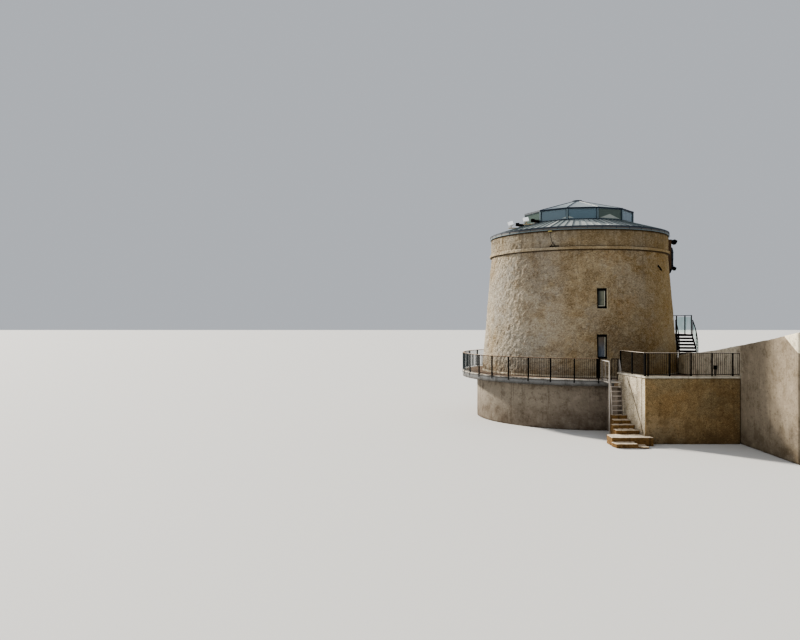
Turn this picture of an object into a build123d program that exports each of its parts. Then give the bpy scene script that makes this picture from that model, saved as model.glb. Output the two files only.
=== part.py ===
from build123d import *
from math import sin, cos, radians, sqrt, hypot, atan2, degrees
import os

# A round coastal gun tower with a deck around its foot, a raised terrace and a stair.
# Millimetres. Origin on the tower's axis at ground level, +Z up.
# -Y is the side with the two windows, +X the side with the entrance.

# ---------------------------------------------------------------- driving dimensions
R_PLINTH = 6230.0        # drum under the deck
Z_SLAB0, Z_SLAB1 = 2460.0, 2800.0
R_SLAB = 7144.0          # outer edge of the ring deck
R_IN = 3150.0            # inner face of the tower wall
R_WALL0, R_WALL1 = 5886.0, 5297.0   # outer face at the deck and at the string course
Z_BAND0, Z_BAND1 = 9858.0, 10040.0
R_BAND = 5410.0
R_PARAPET = 5324.0
Z_PARAPET = 11000.0
R_GUTTER, Z_GUTTER = 5400.0, 11175.0
R_SKIRT, Z_SKIRT = 3350.0, 11800.0
R_LANTERN = 3348.0       # circumradius of the twelve-sided lantern
A_LANTERN = 6.0          # first corner, degrees from +X
Z_SILL, Z_GLASS0, Z_GLASS1, Z_EAVE = 11800.0, 11850.0, 12460.0, 12520.0
Z_CAP = 13440.0
FLOOR1 = 5073.0          # first floor and entrance threshold
Z_GUN = 9400.0           # gun platform
WIN_A = -91.0            # direction of the windows
TOP_DA = 0.5             # the upper window sits a little further round
LOW_WIN = (556.0, 3838.0, 5117.0)     # width, sill, head
TOP_WIN = (540.0, 6618.0, 7648.0)
DOOR_A, DOOR_W, DOOR_H = 3.0, 950.0, 2050.0
RAIL_TOP = 3918.0        # deck railing
RAIL_PITCH, RAIL_A0, RAIL_N = 10.0, -95.5, 30
R_RAIL = 7130.0
GATE_H = (-615.0, -7115.0)            # gate hinge axis
GATE_LEN = 575.0
STAIR_A0, STAIR_STEP, STAIR_N = -28.0, 2.0, 11
STAIR_RISE = (FLOOR1 - Z_SLAB1) / 12
STAIR_RI, STAIR_RO = 6000.0, 6950.0
LANDING_A = 12.0
STEP_RISE, STEP_GO = 234.0, 52.0      # steep steel steps up to the gateway
PLATFORM_Y = -8280.0
WALL_END = -7550.0                    # tower end of the terrace's left wall
TER_Y, TER_X = -10420.0, 5180.0       # terrace front face, boundary wall face
WALL_T = 350.0
Z_COPE0, Z_COPE1 = 3144.0, 3244.0
TER_RAIL = 4366.0
LEFT_X0, LEFT_SLOPE = 600.0, -0.1525  # left terrace wall: x = LEFT_X0 + LEFT_SLOPE*(y - TER_Y)

os.makedirs("parts", exist_ok=True)


def save(part, name):
    part.label = name
    export_step(part, f"parts/{name}.step")


def pol(r, a, z=None):
    a = radians(a)
    return (r * cos(a), r * sin(a)) if z is None else (r * cos(a), r * sin(a), z)


def r_wall(z):
    return R_WALL0 + (R_WALL1 - R_WALL0) * (z - Z_SLAB1) / (Z_BAND0 - Z_SLAB1)


def left_x(y):
    return LEFT_X0 + LEFT_SLOPE * (y - TER_Y)


# outer profile of tower, used to trim what stands against it
with BuildPart() as tower_core:
    with BuildSketch(Plane.XZ):
        with BuildLine():
            Polyline((0, 0), (R_PLINTH, 0), (R_PLINTH, Z_SLAB0), (R_WALL0, Z_SLAB0), (R_WALL0, Z_SLAB1),
                     (R_WALL1, Z_BAND0), (R_BAND, Z_BAND0), (R_BAND, Z_BAND1), (R_PARAPET, Z_BAND1),
                     (R_PARAPET, Z_PARAPET), (R_GUTTER, Z_PARAPET), (R_GUTTER, Z_GUTTER), (0, Z_GUTTER), close=True)
        make_face()
    revolve(axis=Axis.Z)

with BuildPart() as deck_disc:
    with BuildSketch(Plane.XY.offset(Z_SLAB0)):
        Circle(R_SLAB)
    extrude(amount=Z_SLAB1 - Z_SLAB0)

# ---------------------------------------------------------------- masonry
with BuildPart() as plinth:
    with BuildSketch(Plane.XY):
        Circle(R_PLINTH)
    extrude(amount=Z_SLAB0)
save(plinth.part, "plinth")

with BuildPart() as deck_slab:
    with BuildSketch(Plane.XY.offset(Z_SLAB0)):
        Circle(R_SLAB)
        Circle(R_WALL0, mode=Mode.SUBTRACT)
    extrude(amount=Z_SLAB1 - Z_SLAB0)
save(deck_slab.part, "deck_slab")

with BuildPart() as ground_floor:
    with BuildSketch(Plane.XY.offset(Z_SLAB0)):
        Circle(R_IN)
    extrude(amount=Z_SLAB1 - Z_SLAB0)
save(ground_floor.part, "ground_floor")

with BuildPart() as first_floor:
    with BuildSketch(Plane.XY.offset(FLOOR1 - 200)):
        Circle(R_IN)
    extrude(amount=200)
save(first_floor.part, "first_floor")

with BuildPart() as gun_platform:
    with BuildSketch(Plane.XY.offset(Z_GUN - 300)):
        Circle(R_IN)
    extrude(amount=300)
save(gun_platform.part, "gun_platform")

SECTORS = {
    "wall_front": -90.0, "wall_front_right": -45.0, "wall_right": 0.0, "wall_back_right": 45.0,
    "wall_back": 90.0, "wall_back_left": 135.0, "wall_left": 180.0, "wall_front_left": -135.0,
}
for name, mid in SECTORS.items():
    with BuildPart() as wall:
        a0 = mid - 22.5
        with BuildSketch(Plane((0, 0, 0), x_dir=pol(1, a0, 0), z_dir=pol(1, a0 - 90, 0))):
            with BuildLine():
                Polyline((R_IN, Z_SLAB0), (R_WALL0, Z_SLAB0), (R_WALL0, Z_SLAB1), (R_WALL1, Z_BAND0),
                         (R_IN, Z_BAND0), close=True)
            make_face()
        revolve(axis=Axis.Z, revolution_arc=45)
        if name in ("wall_front", "wall_back"):
            for w, z0, z1, zin, da in ((*LOW_WIN, 4800.0, 0.0), (*TOP_WIN, TOP_WIN[2], TOP_DA)):
                wa = (WIN_A if name == "wall_front" else WIN_A + 180) + da
                with BuildSketch(Plane(pol(4900, wa, 0), x_dir=pol(1, wa + 90, 0), z_dir=pol(1, wa, 0))):
                    with Locations((0, (z0 + z1) / 2)):
                        Rectangle(w, z1 - z0)
                extrude(amount=1400, mode=Mode.SUBTRACT)
                with BuildSketch(Plane(pol(2800, wa, 0), x_dir=pol(1, wa + 90, 0), z_dir=pol(1, wa, 0))):
                    with Locations((0, (z0 + zin) / 2)):
                        Rectangle(w, zin - z0)
                extrude(amount=2100, mode=Mode.SUBTRACT)
        if name == "wall_right":
            with BuildSketch(Plane(pol(2800, DOOR_A, 0), x_dir=pol(1, DOOR_A + 90, 0), z_dir=pol(1, DOOR_A, 0))):
                with Locations((0, FLOOR1 + DOOR_H / 2)):
                    Rectangle(DOOR_W, DOOR_H)
            extrude(amount=3500, mode=Mode.SUBTRACT)
    save(wall.part, name)

with BuildPart() as string_course:
    with BuildSketch(Plane.XY.offset(Z_BAND0)):
        Circle(R_BAND)
        Circle(R_IN, mode=Mode.SUBTRACT)
    extrude(amount=Z_BAND1 - Z_BAND0)
save(string_course.part, "string_course")

with BuildPart() as parapet_wall:
    with BuildSketch(Plane.XY.offset(Z_BAND1)):
        Circle(R_PARAPET)
        Circle(R_IN, mode=Mode.SUBTRACT)
    extrude(amount=Z_PARAPET - Z_BAND1)
save(parapet_wall.part, "parapet_wall")

# ---------------------------------------------------------------- roof
R_SK0 = 5250.0
Z_SK0 = Z_SKIRT - (Z_SKIRT - 11160.0) * (R_SK0 - R_SKIRT) / (R_GUTTER - R_SKIRT)
with BuildPart() as gutter:
    with BuildSketch(Plane.XZ):
        with BuildLine():
            Polyline((R_SK0, Z_PARAPET), (R_GUTTER, Z_PARAPET), (R_GUTTER, Z_GUTTER), (R_GUTTER - 12, Z_GUTTER),
                     (R_GUTTER - 12, Z_PARAPET + 60), (R_SK0, Z_PARAPET + 60), close=True)
        make_face()
    revolve(axis=Axis.Z)
save(gutter.part, "gutter")

with BuildPart() as roof_skirt:
    with BuildSketch(Plane.XZ):
        with BuildLine():
            Polyline((R_IN, Z_PARAPET), (R_SK0, Z_PARAPET), (R_SK0, Z_SK0), (R_SKIRT, Z_SKIRT), (R_IN, Z_SKIRT), close=True)
        make_face()
    revolve(axis=Axis.Z)
save(roof_skirt.part, "roof_skirt")


def twelve(r):
    return [pol(r, A_LANTERN + 30 * i) for i in range(12)]


with BuildPart() as lantern_sill:
    with BuildSketch(Plane.XY.offset(Z_SILL)):
        Polygon(*twelve(R_LANTERN), align=None)
        Polygon(*twelve(R_LANTERN - 100), align=None, mode=Mode.SUBTRACT)
    extrude(amount=Z_GLASS0 - Z_SILL)
save(lantern_sill.part, "lantern_sill")

with BuildPart() as lantern_posts:
    with BuildSketch(Plane.XY.offset(Z_GLASS0)):
        with PolarLocations(R_LANTERN - 42, 12, start_angle=A_LANTERN):
            Rectangle(70, 70)
    extrude(amount=Z_GLASS1 - Z_GLASS0)
save(lantern_posts.part, "lantern_posts")

with BuildPart() as lantern_glass:
    flat = (R_LANTERN - 42) * cos(radians(15))
    wide = 2 * (R_LANTERN - 42) * sin(radians(15)) - 84
    with BuildSketch(Plane.XY.offset(Z_GLASS0)):
        with PolarLocations(flat, 12, start_angle=A_LANTERN + 15):
            Rectangle(24, wide)
    extrude(amount=Z_GLASS1 - Z_GLASS0)
save(lantern_glass.part, "lantern_glass")

with BuildPart() as lantern_eave:
    with BuildSketch(Plane.XY.offset(Z_GLASS1)):
        Polygon(*twelve(R_LANTERN + 30), align=None)
        Polygon(*twelve(R_LANTERN - 120), align=None, mode=Mode.SUBTRACT)
    extrude(amount=Z_EAVE - Z_GLASS1)
save(lantern_eave.part, "lantern_eave")

Z_ROOF1 = Z_CAP - 80
with BuildPart() as lantern_roof:
    with BuildSketch(Plane.XY.offset(Z_EAVE)):
        Polygon(*twelve(R_LANTERN + 30), align=None)
    with BuildSketch(Plane.XY.offset(Z_ROOF1)):
        Polygon(*twelve(300), align=None)
    loft(ruled=True)
    with BuildSketch(Plane.XY.offset(Z_EAVE)):
        Polygon(*twelve(R_LANTERN - 120), align=None)
    with BuildSketch(Plane.XY.offset(Z_ROOF1 - 90)):
        Polygon(*twelve(260), align=None)
    loft(ruled=True, mode=Mode.SUBTRACT)
save(lantern_roof.part, "lantern_roof")

with BuildPart() as roof_cap:
    with BuildSketch(Plane.XY.offset(Z_ROOF1)):
        Circle(325)
    extrude(amount=Z_CAP - Z_ROOF1)
    chamfer(roof_cap.faces().sort_by(Axis.Z)[-1].edges(), length=30)
save(roof_cap.part, "roof_cap")

# ---------------------------------------------------------------- windows and door
WINDOWS = [(base + da, win) for base in (WIN_A, WIN_A + 180) for da, win in ((0.0, LOW_WIN), (TOP_DA, TOP_WIN))]
with BuildPart() as window_frames:
    for wa, (w, z0, z1) in WINDOWS:
        r = r_wall(z1) - 75
        with BuildSketch(Plane(pol(r, wa, (z0 + z1) / 2), x_dir=pol(1, wa + 90, 0), z_dir=pol(1, wa, 0))):
            Rectangle(w, z1 - z0)
            Rectangle(w - 130, z1 - z0 - 130, mode=Mode.SUBTRACT)
        extrude(amount=60)
save(window_frames.part, "window_frames")

with BuildPart() as window_panes:
    for wa, (w, z0, z1) in WINDOWS:
        r = r_wall(z1) - 58
        with BuildSketch(Plane(pol(r, wa, (z0 + z1) / 2), x_dir=pol(1, wa + 90, 0), z_dir=pol(1, wa, 0))):
            Rectangle(w - 130, z1 - z0 - 130)
        extrude(amount=24)
save(window_panes.part, "window_panes")

DOOR_R = r_wall(FLOOR1 + DOOR_H) - 330
with BuildPart() as door_frame:
    with BuildSketch(Plane(pol(DOOR_R, DOOR_A, FLOOR1), x_dir=pol(1, DOOR_A + 90, 0), z_dir=pol(1, DOOR_A, 0))):
        with Locations((0, DOOR_H / 2)):
            Rectangle(DOOR_W, DOOR_H)
        with Locations((0, (DOOR_H - 70) / 2)):
            Rectangle(DOOR_W - 140, DOOR_H - 70, mode=Mode.SUBTRACT)
    extrude(amount=110)
save(door_frame.part, "door_frame")

with BuildPart() as entrance_door:
    with BuildSketch(Plane(pol(DOOR_R + 30, DOOR_A, FLOOR1), x_dir=pol(1, DOOR_A + 90, 0), z_dir=pol(1, DOOR_A, 0))):
        with Locations((0, (DOOR_H - 70) / 2)):
            Rectangle(DOOR_W - 140, DOOR_H - 70)
    extrude(amount=50)
save(entrance_door.part, "entrance_door")

# ---------------------------------------------------------------- machicolation over the door
MACH = Plane((0, 0, 0), x_dir=pol(1, DOOR_A, 0), z_dir=(0, 0, 1))
with BuildPart() as machicolation_wall:
    with BuildSketch(MACH.offset(9150)):
        with Locations(((5200 + 5730) / 2, 0)):
            Rectangle(530, 1400)
        with Locations((5400, 0)):
            Rectangle(360, 1160, mode=Mode.SUBTRACT)
    extrude(amount=10960 - 9150)
    add(tower_core.part, mode=Mode.SUBTRACT)
save(machicolation_wall.part, "machicolation_wall")

with BuildPart() as machicolation_corbels:
    with BuildSketch(MACH.offset(8960)):
        with Locations(*[((5200 + 5730) / 2, y) for y in (-610, -205, 205, 610)]):
            Rectangle(530, 150)
    extrude(amount=190)
    with BuildSketch(MACH.offset(8810)):
        with Locations(*[((5200 + 5590) / 2, y) for y in (-610, -205, 205, 610)]):
            Rectangle(390, 150)
    extrude(amount=150)
    add(tower_core.part, mode=Mode.SUBTRACT)
save(machicolation_corbels.part, "machicolation_corbels")

with BuildPart() as machicolation_lamps:
    for z, reach, size in ((10800, 300, 190), (10280, 160, 110), (9130, 240, 170)):
        with BuildSketch(MACH.offset(z - size / 2)):
            with Locations((5730 + reach / 2, -560)):
                Rectangle(reach, 40)
        extrude(amount=30)
        with BuildSketch(MACH.offset(z - size / 2)):
            with Locations((5730 + reach - 60, -560)):
                Rectangle(120, size * 1.3)
        extrude(amount=size)
save(machicolation_lamps.part, "machicolation_lamps")

# ---------------------------------------------------------------- entrance stair
with BuildPart() as stair_treads:
    for j in range(STAIR_N):
        top = Z_SLAB1 + STAIR_RISE * (j + 1)
        with BuildSketch(Plane.XY.offset(top - 115)):
            with BuildLine():
                Polyline(pol(STAIR_RI, STAIR_A0 + STAIR_STEP * j), pol(STAIR_RO, STAIR_A0 + STAIR_STEP * j),
                         pol(STAIR_RO, STAIR_A0 + STAIR_STEP * (j + 1)), pol(STAIR_RI, STAIR_A0 + STAIR_STEP * (j + 1)), close=True)
            make_face()
        extrude(amount=115)
save(stair_treads.part, "stair_treads")


def helical_bar(r0, r1, below, above):
    """Bar following the flight, from r0 to r1, between heights measured from the pitch line."""
    with BuildPart() as bar:
        for j in range(STAIR_N + 1):
            a = STAIR_A0 + STAIR_STEP * j
            z = Z_SLAB1 + STAIR_RISE * (j + 0.5)
            with BuildSketch(Plane(pol((r0 + r1) / 2, a, z + (below + above) / 2), x_dir=pol(1, a, 0), z_dir=pol(1, a - 90, 0))):
                Rectangle(r1 - r0, above - below)
        loft(ruled=True)
    return bar.part


with BuildPart() as stair_stringers:
    add(helical_bar(STAIR_RI - 40, STAIR_RI, -230, 110))
    add(helical_bar(STAIR_RO, STAIR_RO + 12, -190, 110))
    add(deck_disc.part, mode=Mode.SUBTRACT)
save(stair_stringers.part, "stair_stringers")

LAND0 = STAIR_A0 + STAIR_STEP * STAIR_N
with BuildPart() as stair_landing:
    with BuildSketch(Plane.XY.offset(FLOOR1 - 120)):
        with BuildLine():
            CenterArc((0, 0), STAIR_RO + 12, LAND0, LANDING_A - LAND0)
            Line(pol(STAIR_RO + 12, LANDING_A), pol(5500, LANDING_A))
            CenterArc((0, 0), 5500, LAND0, LANDING_A - LAND0)
            Line(pol(5500, LAND0), pol(STAIR_RO + 12, LAND0))
        make_face()
    extrude(amount=120)
    add(tower_core.part, mode=Mode.SUBTRACT)
save(stair_landing.part, "stair_landing")

with BuildPart() as stair_columns:
    # two posts carry the landing from the deck
    for r, a in ((6880, LANDING_A - 1.5), (6050, LANDING_A - 1.5)):
        with BuildSketch(Plane.XY.offset(Z_SLAB1)):
            with Locations(Location(pol(r, a, 0), (0, 0, a))):
                Rectangle(90, 90)
        extrude(amount=FLOOR1 - 120 - Z_SLAB1)
save(stair_columns.part, "stair_columns")

GUARD = 1150.0
STAIR_POSTS = (0.2, 3.7, 7.2, 10.8)
with BuildPart() as stair_guard:
    # handrails and posts outside both stringers
    for r0, r1, low, high in ((STAIR_RO + 12, STAIR_RO + 54, 930, 990), (STAIR_RI - 54, STAIR_RI - 12, 890, 990)):
        add(helical_bar(r0, r1, low, high))
        for j in STAIR_POSTS:
            a = STAIR_A0 + STAIR_STEP * j
            z = Z_SLAB1 + STAIR_RISE * (j + 0.5)
            with BuildSketch(Plane.XY.offset(z - 90)):
                with Locations(Location(pol((r0 + r1) / 2, a, 0), (0, 0, a))):
                    Rectangle(r1 - r0 - 4, 60)
            extrude(amount=1050)
    add(stair_stringers.part, mode=Mode.SUBTRACT)
save(stair_guard.part, "stair_guard")

with BuildPart() as landing_guard:
    for a in (LAND0 + 0.5, (LAND0 + LANDING_A) / 2, LANDING_A - 0.5):
        with BuildSketch(Plane.XY.offset(FLOOR1)):
            with Locations(Location(pol(STAIR_RO - 20, a, 0), (0, 0, a))):
                Rectangle(50, 74)
        extrude(amount=GUARD)
    # end panel of the landing, back to the wall
    with BuildSketch(Plane.XY.offset(FLOOR1)):
        with Locations(Location(pol(5860, LANDING_A - 0.5, 0), (0, 0, LANDING_A - 0.5))):
            Rectangle(60, 40)
    extrude(amount=GUARD)
    with BuildSketch(Plane.XY.offset(FLOOR1 + GUARD)):
        with BuildLine():
            CenterArc((0, 0), STAIR_RO + 5, LAND0, LANDING_A - LAND0)
            Line(pol(STAIR_RO + 5, LANDING_A), pol(STAIR_RO - 45, LANDING_A))
            CenterArc((0, 0), STAIR_RO - 45, LAND0, LANDING_A - LAND0)
            Line(pol(STAIR_RO - 45, LAND0), pol(STAIR_RO + 5, LAND0))
        make_face()
        with Locations(Location(pol((5830 + STAIR_RO - 20) / 2, LANDING_A - 0.5, 0), (0, 0, LANDING_A - 0.5))):
            Rectangle(STAIR_RO - 20 - 5830, 46)
    extrude(amount=36)
save(landing_guard.part, "landing_guard")

with BuildPart() as stair_glass:
    # sheets between the posts of the flight's outer side and of the landing
    add(helical_bar(STAIR_RO + 20, STAIR_RO + 30, 130, 900))
    add(stair_guard.part, mode=Mode.SUBTRACT)
    for a0, a1 in ((LAND0 + 1.0, (LAND0 + LANDING_A) / 2 - 0.5), ((LAND0 + LANDING_A) / 2 + 0.5, LANDING_A - 1.0)):
        c = (a0 + a1) / 2
        with BuildSketch(Plane.XY.offset(FLOOR1 + 80)):
            with Locations(Location(pol((STAIR_RO - 25) * cos(radians((a1 - a0) / 2)), c, 0), (0, 0, c))):
                Rectangle(10, 2 * STAIR_RO * sin(radians((a1 - a0) / 2)))
        extrude(amount=GUARD - 160)
save(stair_glass.part, "stair_glass")

# ---------------------------------------------------------------- railings
def rail_bay(length, z0, z1, z_low, post_w, post_d, foot, pitch=100.0, bar=14.0):
    """Flat baluster panel from x = 0 to length in the XZ plane with a post at x = 0."""
    with BuildPart() as bay:
        n = max(1, round(length / pitch))
        gap = (length - bar * (n + 1)) / n
        with BuildSketch(Plane.XZ):
            with Locations((length / 2, (z_low + z1) / 2)):
                Rectangle(length, z1 - z_low)
            for k in range(n):
                x = bar + k * (gap + bar) + gap / 2
                with Locations((x, (z_low + 30 + z1 - 30) / 2)):
                    Rectangle(gap, z1 - z_low - 60, mode=Mode.SUBTRACT)
        extrude(amount=bar / 2, both=True)
        with BuildSketch(Plane.XY.offset(z1 - 12)):
            with Locations((length / 2, 0)):
                Rectangle(length, 46)
        extrude(amount=12)
        if post_w:
            with BuildSketch(Plane.XY.offset(foot)):
                Rectangle(post_w, post_d)
            extrude(amount=z1 - foot)
    return bay.part


CHORD = 2 * R_RAIL * sin(radians(RAIL_PITCH / 2))
POST_W, POST_D = 60.0, 64.0
deck_bay = rail_bay(CHORD - POST_W / 2 - 6, Z_SLAB1, RAIL_TOP, Z_SLAB1 + 70, POST_W, POST_D, Z_SLAB0 + 160)
groups = {"deck_railing_left": range(0, 7), "deck_railing_back_left": range(7, 14),
          "deck_railing_back_right": range(14, 20), "deck_railing_right": range(20, 30)}
for name, ks in groups.items():
    with BuildPart() as railing:
        for k in ks:
            a = RAIL_A0 - RAIL_PITCH * k
            with Locations(Location(pol(R_RAIL, a, 0), (0, 0, a - RAIL_PITCH / 2 - 90))):
                add(deck_bay)
        if name == "deck_railing_right":
            a = RAIL_A0 - RAIL_PITCH * RAIL_N
            with BuildSketch(Plane.XY.offset(Z_SLAB0 + 160)):
                with Locations(Location(pol(R_RAIL, a, 0), (0, 0, a))):
                    Rectangle(POST_D, POST_W)
            extrude(amount=RAIL_TOP - Z_SLAB0 - 160)
        add(deck_disc.part, mode=Mode.SUBTRACT)
    if name == "deck_railing_left":
        left_rail_part = railing.part
    save(railing.part, name)

# ---------------------------------------------------------------- gateway
GX, GY = GATE_H
with BuildPart() as gate_leaf:
    # leaf stands open, along +Y from its hinge axis
    with BuildSketch(Plane((GX, 0, 0), x_dir=(0, 1, 0), z_dir=(1, 0, 0))):
        y0, y1 = GY + 24, GY + GATE_LEN
        with Locations(((y0 + y1) / 2, (2880 + RAIL_TOP - 10) / 2)):
            Rectangle(y1 - y0, RAIL_TOP - 10 - 2880)
        w = (y1 - y0 - 60 - 4 * 14) / 5
        for k in range(5):
            with Locations((y0 + 30 + w / 2 + k * (w + 14), (2880 + RAIL_TOP - 10) / 2)):
                Rectangle(w, RAIL_TOP - 10 - 2880 - 60, mode=Mode.SUBTRACT)
    extrude(amount=15, both=True)
    for z in (3020, 3700):
        with BuildSketch(Plane.XY.offset(z)):
            with Locations((GX, GY)):
                Circle(17)
            with Locations((GX, GY + 16)):
                Rectangle(14, 32)
            with Locations((GX, GY)):
                Circle(9, mode=Mode.SUBTRACT)
        extrude(amount=70)
save(gate_leaf.part, "gate_leaf")

with BuildPart() as gate_hinges:
    for z in (3020, 3700):
        with BuildSketch(Plane.XY.offset(z - 26)):
            with Locations((GX, GY)):
                Circle(17)
            with Locations((GX - 35, GY)):
                Rectangle(70, 20)
        extrude(amount=20)
        with BuildSketch(Plane.XY.offset(z - 10)):
            with Locations((GX, GY)):
                Circle(8.5)
        extrude(amount=90)
    add(left_rail_part, mode=Mode.SUBTRACT)
save(gate_hinges.part, "gate_hinges")

gate_panel = rail_bay(370.0, Z_SLAB1, RAIL_TOP, Z_SLAB1 + 70, 0, 0, 0)
with BuildPart() as gate_side_panel:
    with Locations((-30, -7105, 0)):
        add(gate_panel)
    with BuildSketch(Plane.XY.offset(Z_SLAB1)):
        with Locations((-15, -7105)):
            Rectangle(30, 40)
        with Locations((340, -7105)):
            Rectangle(60, 50)
    extrude(amount=RAIL_TOP - Z_SLAB1)
save(gate_side_panel.part, "gate_side_panel")

with BuildPart() as gate_platform:
    with BuildSketch(Plane.XY.offset(Z_SLAB1 - 60)):
        with Locations((-214, (PLATFORM_Y - 7060) / 2)):
            Rectangle(628, -7060 - PLATFORM_Y)
    extrude(amount=60)
    add(deck_disc.part, mode=Mode.SUBTRACT)
save(gate_platform.part, "gate_platform")

TUBE = 42.0
GUARD_Y0, GUARD_Y1 = -7250.0, -8560.0
with BuildPart() as platform_guard:
    # tubular guard at the platform's left edge, its end post running down to the ground
    with BuildSketch(Plane((-550, 0, 0), x_dir=(0, 1, 0), z_dir=(1, 0, 0))):
        with BuildLine():
            Polyline((GUARD_Y0, 2760), (GUARD_Y0, 3870), (GUARD_Y1 + 110, 3870), (GUARD_Y1 + 32, 3838), (GUARD_Y1, 3760), (GUARD_Y1, 2760), close=True)
        make_face()
        with BuildLine():
            Polyline((GUARD_Y0 - TUBE, 2880 + TUBE), (GUARD_Y0 - TUBE, 3870 - TUBE), (GUARD_Y1 + 118, 3870 - TUBE),
                     (GUARD_Y1 + 66, 3808), (GUARD_Y1 + TUBE, 3752), (GUARD_Y1 + TUBE, 2880 + TUBE), close=True)
        make_face(mode=Mode.SUBTRACT)
        with Locations(((GUARD_Y0 + GUARD_Y1) / 2, 2800)):
            Rectangle(GUARD_Y0 - GUARD_Y1 - 2 * TUBE, 160, mode=Mode.SUBTRACT)
        with Locations((-7870, 3380)):
            Rectangle(34, 980)
        with Locations((GUARD_Y1 + TUBE / 2, 1400)):
            Rectangle(TUBE, 2800)
    extrude(amount=TUBE / 2, both=True)
save(platform_guard.part, "platform_guard")

with BuildPart() as right_handrail:
    # hooped handrail on the end of the terrace wall, at the head of the steps
    with BuildSketch(Plane((240, 0, 0), x_dir=(0, 1, 0), z_dir=(1, 0, 0))):
        with BuildLine():
            Polyline((-7590, Z_COPE1), (-7590, 3900), (-7665, 3900), (-7900, 3340), (-7900, Z_COPE1), (-7858, Z_COPE1),
                     (-7858, 3332), (-7638, 3858), (-7632, 3858), (-7632, Z_COPE1), close=True)
        make_face()
    extrude(amount=TUBE / 2, both=True)
save(right_handrail.part, "right_handrail")

# stone steps below the steel ones: front edge, back edge, left end, top
STONE_STEPS = [(-8640, -8250, -430, 1157), (-9020, -8640, -469, 950), (-9420, -9020, -651, 770), (-9920, -9420, -634, 585)]
with BuildPart() as steel_steps:
    # open treads between two flat stringers standing on the first stone step
    for i in range(1, 7):
        top = Z_SLAB1 - STEP_RISE * i
        yt = PLATFORM_Y - STEP_GO * i
        with BuildSketch(Plane.XY.offset(top - 36)):
            with Locations((-147.5, yt + 90)):
                Rectangle(505, 180)
        extrude(amount=36)
    for x in (-412, 105):
        with BuildSketch(Plane((x, 0, 0), x_dir=(0, 1, 0), z_dir=(1, 0, 0))):
            with BuildLine():
                Polyline((PLATFORM_Y, Z_SLAB1), (PLATFORM_Y, 2500), (-8420, STONE_STEPS[0][3]), (-8625, STONE_STEPS[0][3]),
                         (PLATFORM_Y - 60, Z_SLAB1), close=True)
            make_face()
        extrude(amount=12)
    add(gate_platform.part, mode=Mode.SUBTRACT)
save(steel_steps.part, "steel_steps")

with BuildPart() as concrete_steps:
    for yf, yb, x0, top in STONE_STEPS:
        with BuildSketch(Plane.XY):
            with BuildLine():
                Polyline((x0, yf), (left_x(yf) - 8, yf), (left_x(yb) - 8, yb), (x0, yb), close=True)
            make_face()
        extrude(amount=top)
save(concrete_steps.part, "concrete_steps")

with BuildPart() as lower_landing:
    yb, yf = STONE_STEPS[-1][0], -10950.0
    with BuildSketch(Plane.XY):
        with BuildLine():
            Polyline((-1149, yf), (813, yf), (813, TER_Y - 6), (left_x(TER_Y) - 8, TER_Y - 6), (left_x(yb) - 8, yb), (-1000, yb),
                     (-1149, yb - 160), close=True)
        make_face()
    extrude(amount=414)
    with BuildSketch(Plane.XY):
        with BuildLine():
            Polyline((-1178, yf - 60), (-1100, yf - 550), (-82, yf - 550), (-82, yf), (-1149, yf), close=True)
        make_face()
    extrude(amount=205)
    with BuildSketch(Plane.XY):
        with BuildLine():
            Polyline((-46, yf), (-46, yf - 640), (386, yf - 670), (400, yf), close=True)
        make_face()
    extrude(amount=80)
save(lower_landing.part, "lower_landing")

# ---------------------------------------------------------------- terrace
LT = WALL_T * sqrt(1 + LEFT_SLOPE ** 2)
YB = TER_Y + WALL_T
with BuildPart() as front_wall:
    with BuildSketch(Plane.XY):
        with BuildLine():
            Polyline((left_x(TER_Y), TER_Y), (TER_X, TER_Y), (TER_X, YB), (left_x(YB), YB), close=True)
        make_face()
    extrude(amount=Z_COPE0)
save(front_wall.part, "front_wall")

with BuildPart() as left_wall:
    with BuildSketch(Plane.XY):
        with BuildLine():
            Polyline((left_x(YB), YB), (left_x(YB) + LT, YB), (left_x(WALL_END) + LT, WALL_END), (left_x(WALL_END), WALL_END), close=True)
        make_face()
    extrude(amount=Z_COPE0)
    add(plinth.part, mode=Mode.SUBTRACT)
    with BuildSketch(Plane.XY.offset(Z_SLAB0)):
        Circle(R_SLAB)
    extrude(amount=Z_COPE0 - Z_SLAB0, mode=Mode.SUBTRACT)
    # the wall stops short behind the steel steps; only its head carries on to the deck
    with BuildSketch(Plane.XY):
        with Locations((600, -7770)):
            Rectangle(1600, 520)
    extrude(amount=2440, mode=Mode.SUBTRACT)
save(left_wall.part, "left_wall")

with BuildPart() as front_coping:
    with BuildSketch(Plane.XY.offset(Z_COPE0)):
        with BuildLine():
            Polyline((left_x(TER_Y) - 20, TER_Y - 20), (TER_X, TER_Y - 20), (TER_X, YB + 20), (left_x(YB) - 20, YB + 20), close=True)
        make_face()
    extrude(amount=Z_COPE1 - Z_COPE0)
save(front_coping.part, "front_coping")

with BuildPart() as left_coping:
    with BuildSketch(Plane.XY.offset(Z_COPE0)):
        with BuildLine():
            y0 = YB + 20
            Polyline((left_x(y0) - 20, y0), (left_x(y0) + LT + 20, y0), (left_x(WALL_END) + LT + 20, WALL_END), (left_x(WALL_END) - 20, WALL_END), close=True)
        make_face()
        Circle(R_SLAB, mode=Mode.SUBTRACT)
    extrude(amount=Z_COPE1 - Z_COPE0)
save(left_coping.part, "left_coping")


TERRACE = [(left_x(YB) + LT, YB), (TER_X, YB), (TER_X, -2000), (left_x(-2000) + 80, -2000), (left_x(WALL_END) + 12, WALL_END), (left_x(WALL_END) + LT, WALL_END)]
with BuildPart() as terrace_fill:
    with BuildSketch(Plane.XY):
        Polygon(*TERRACE, align=None)
        Circle(R_PLINTH, mode=Mode.SUBTRACT)
    extrude(amount=Z_SLAB0)
save(terrace_fill.part, "terrace_fill")

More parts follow.
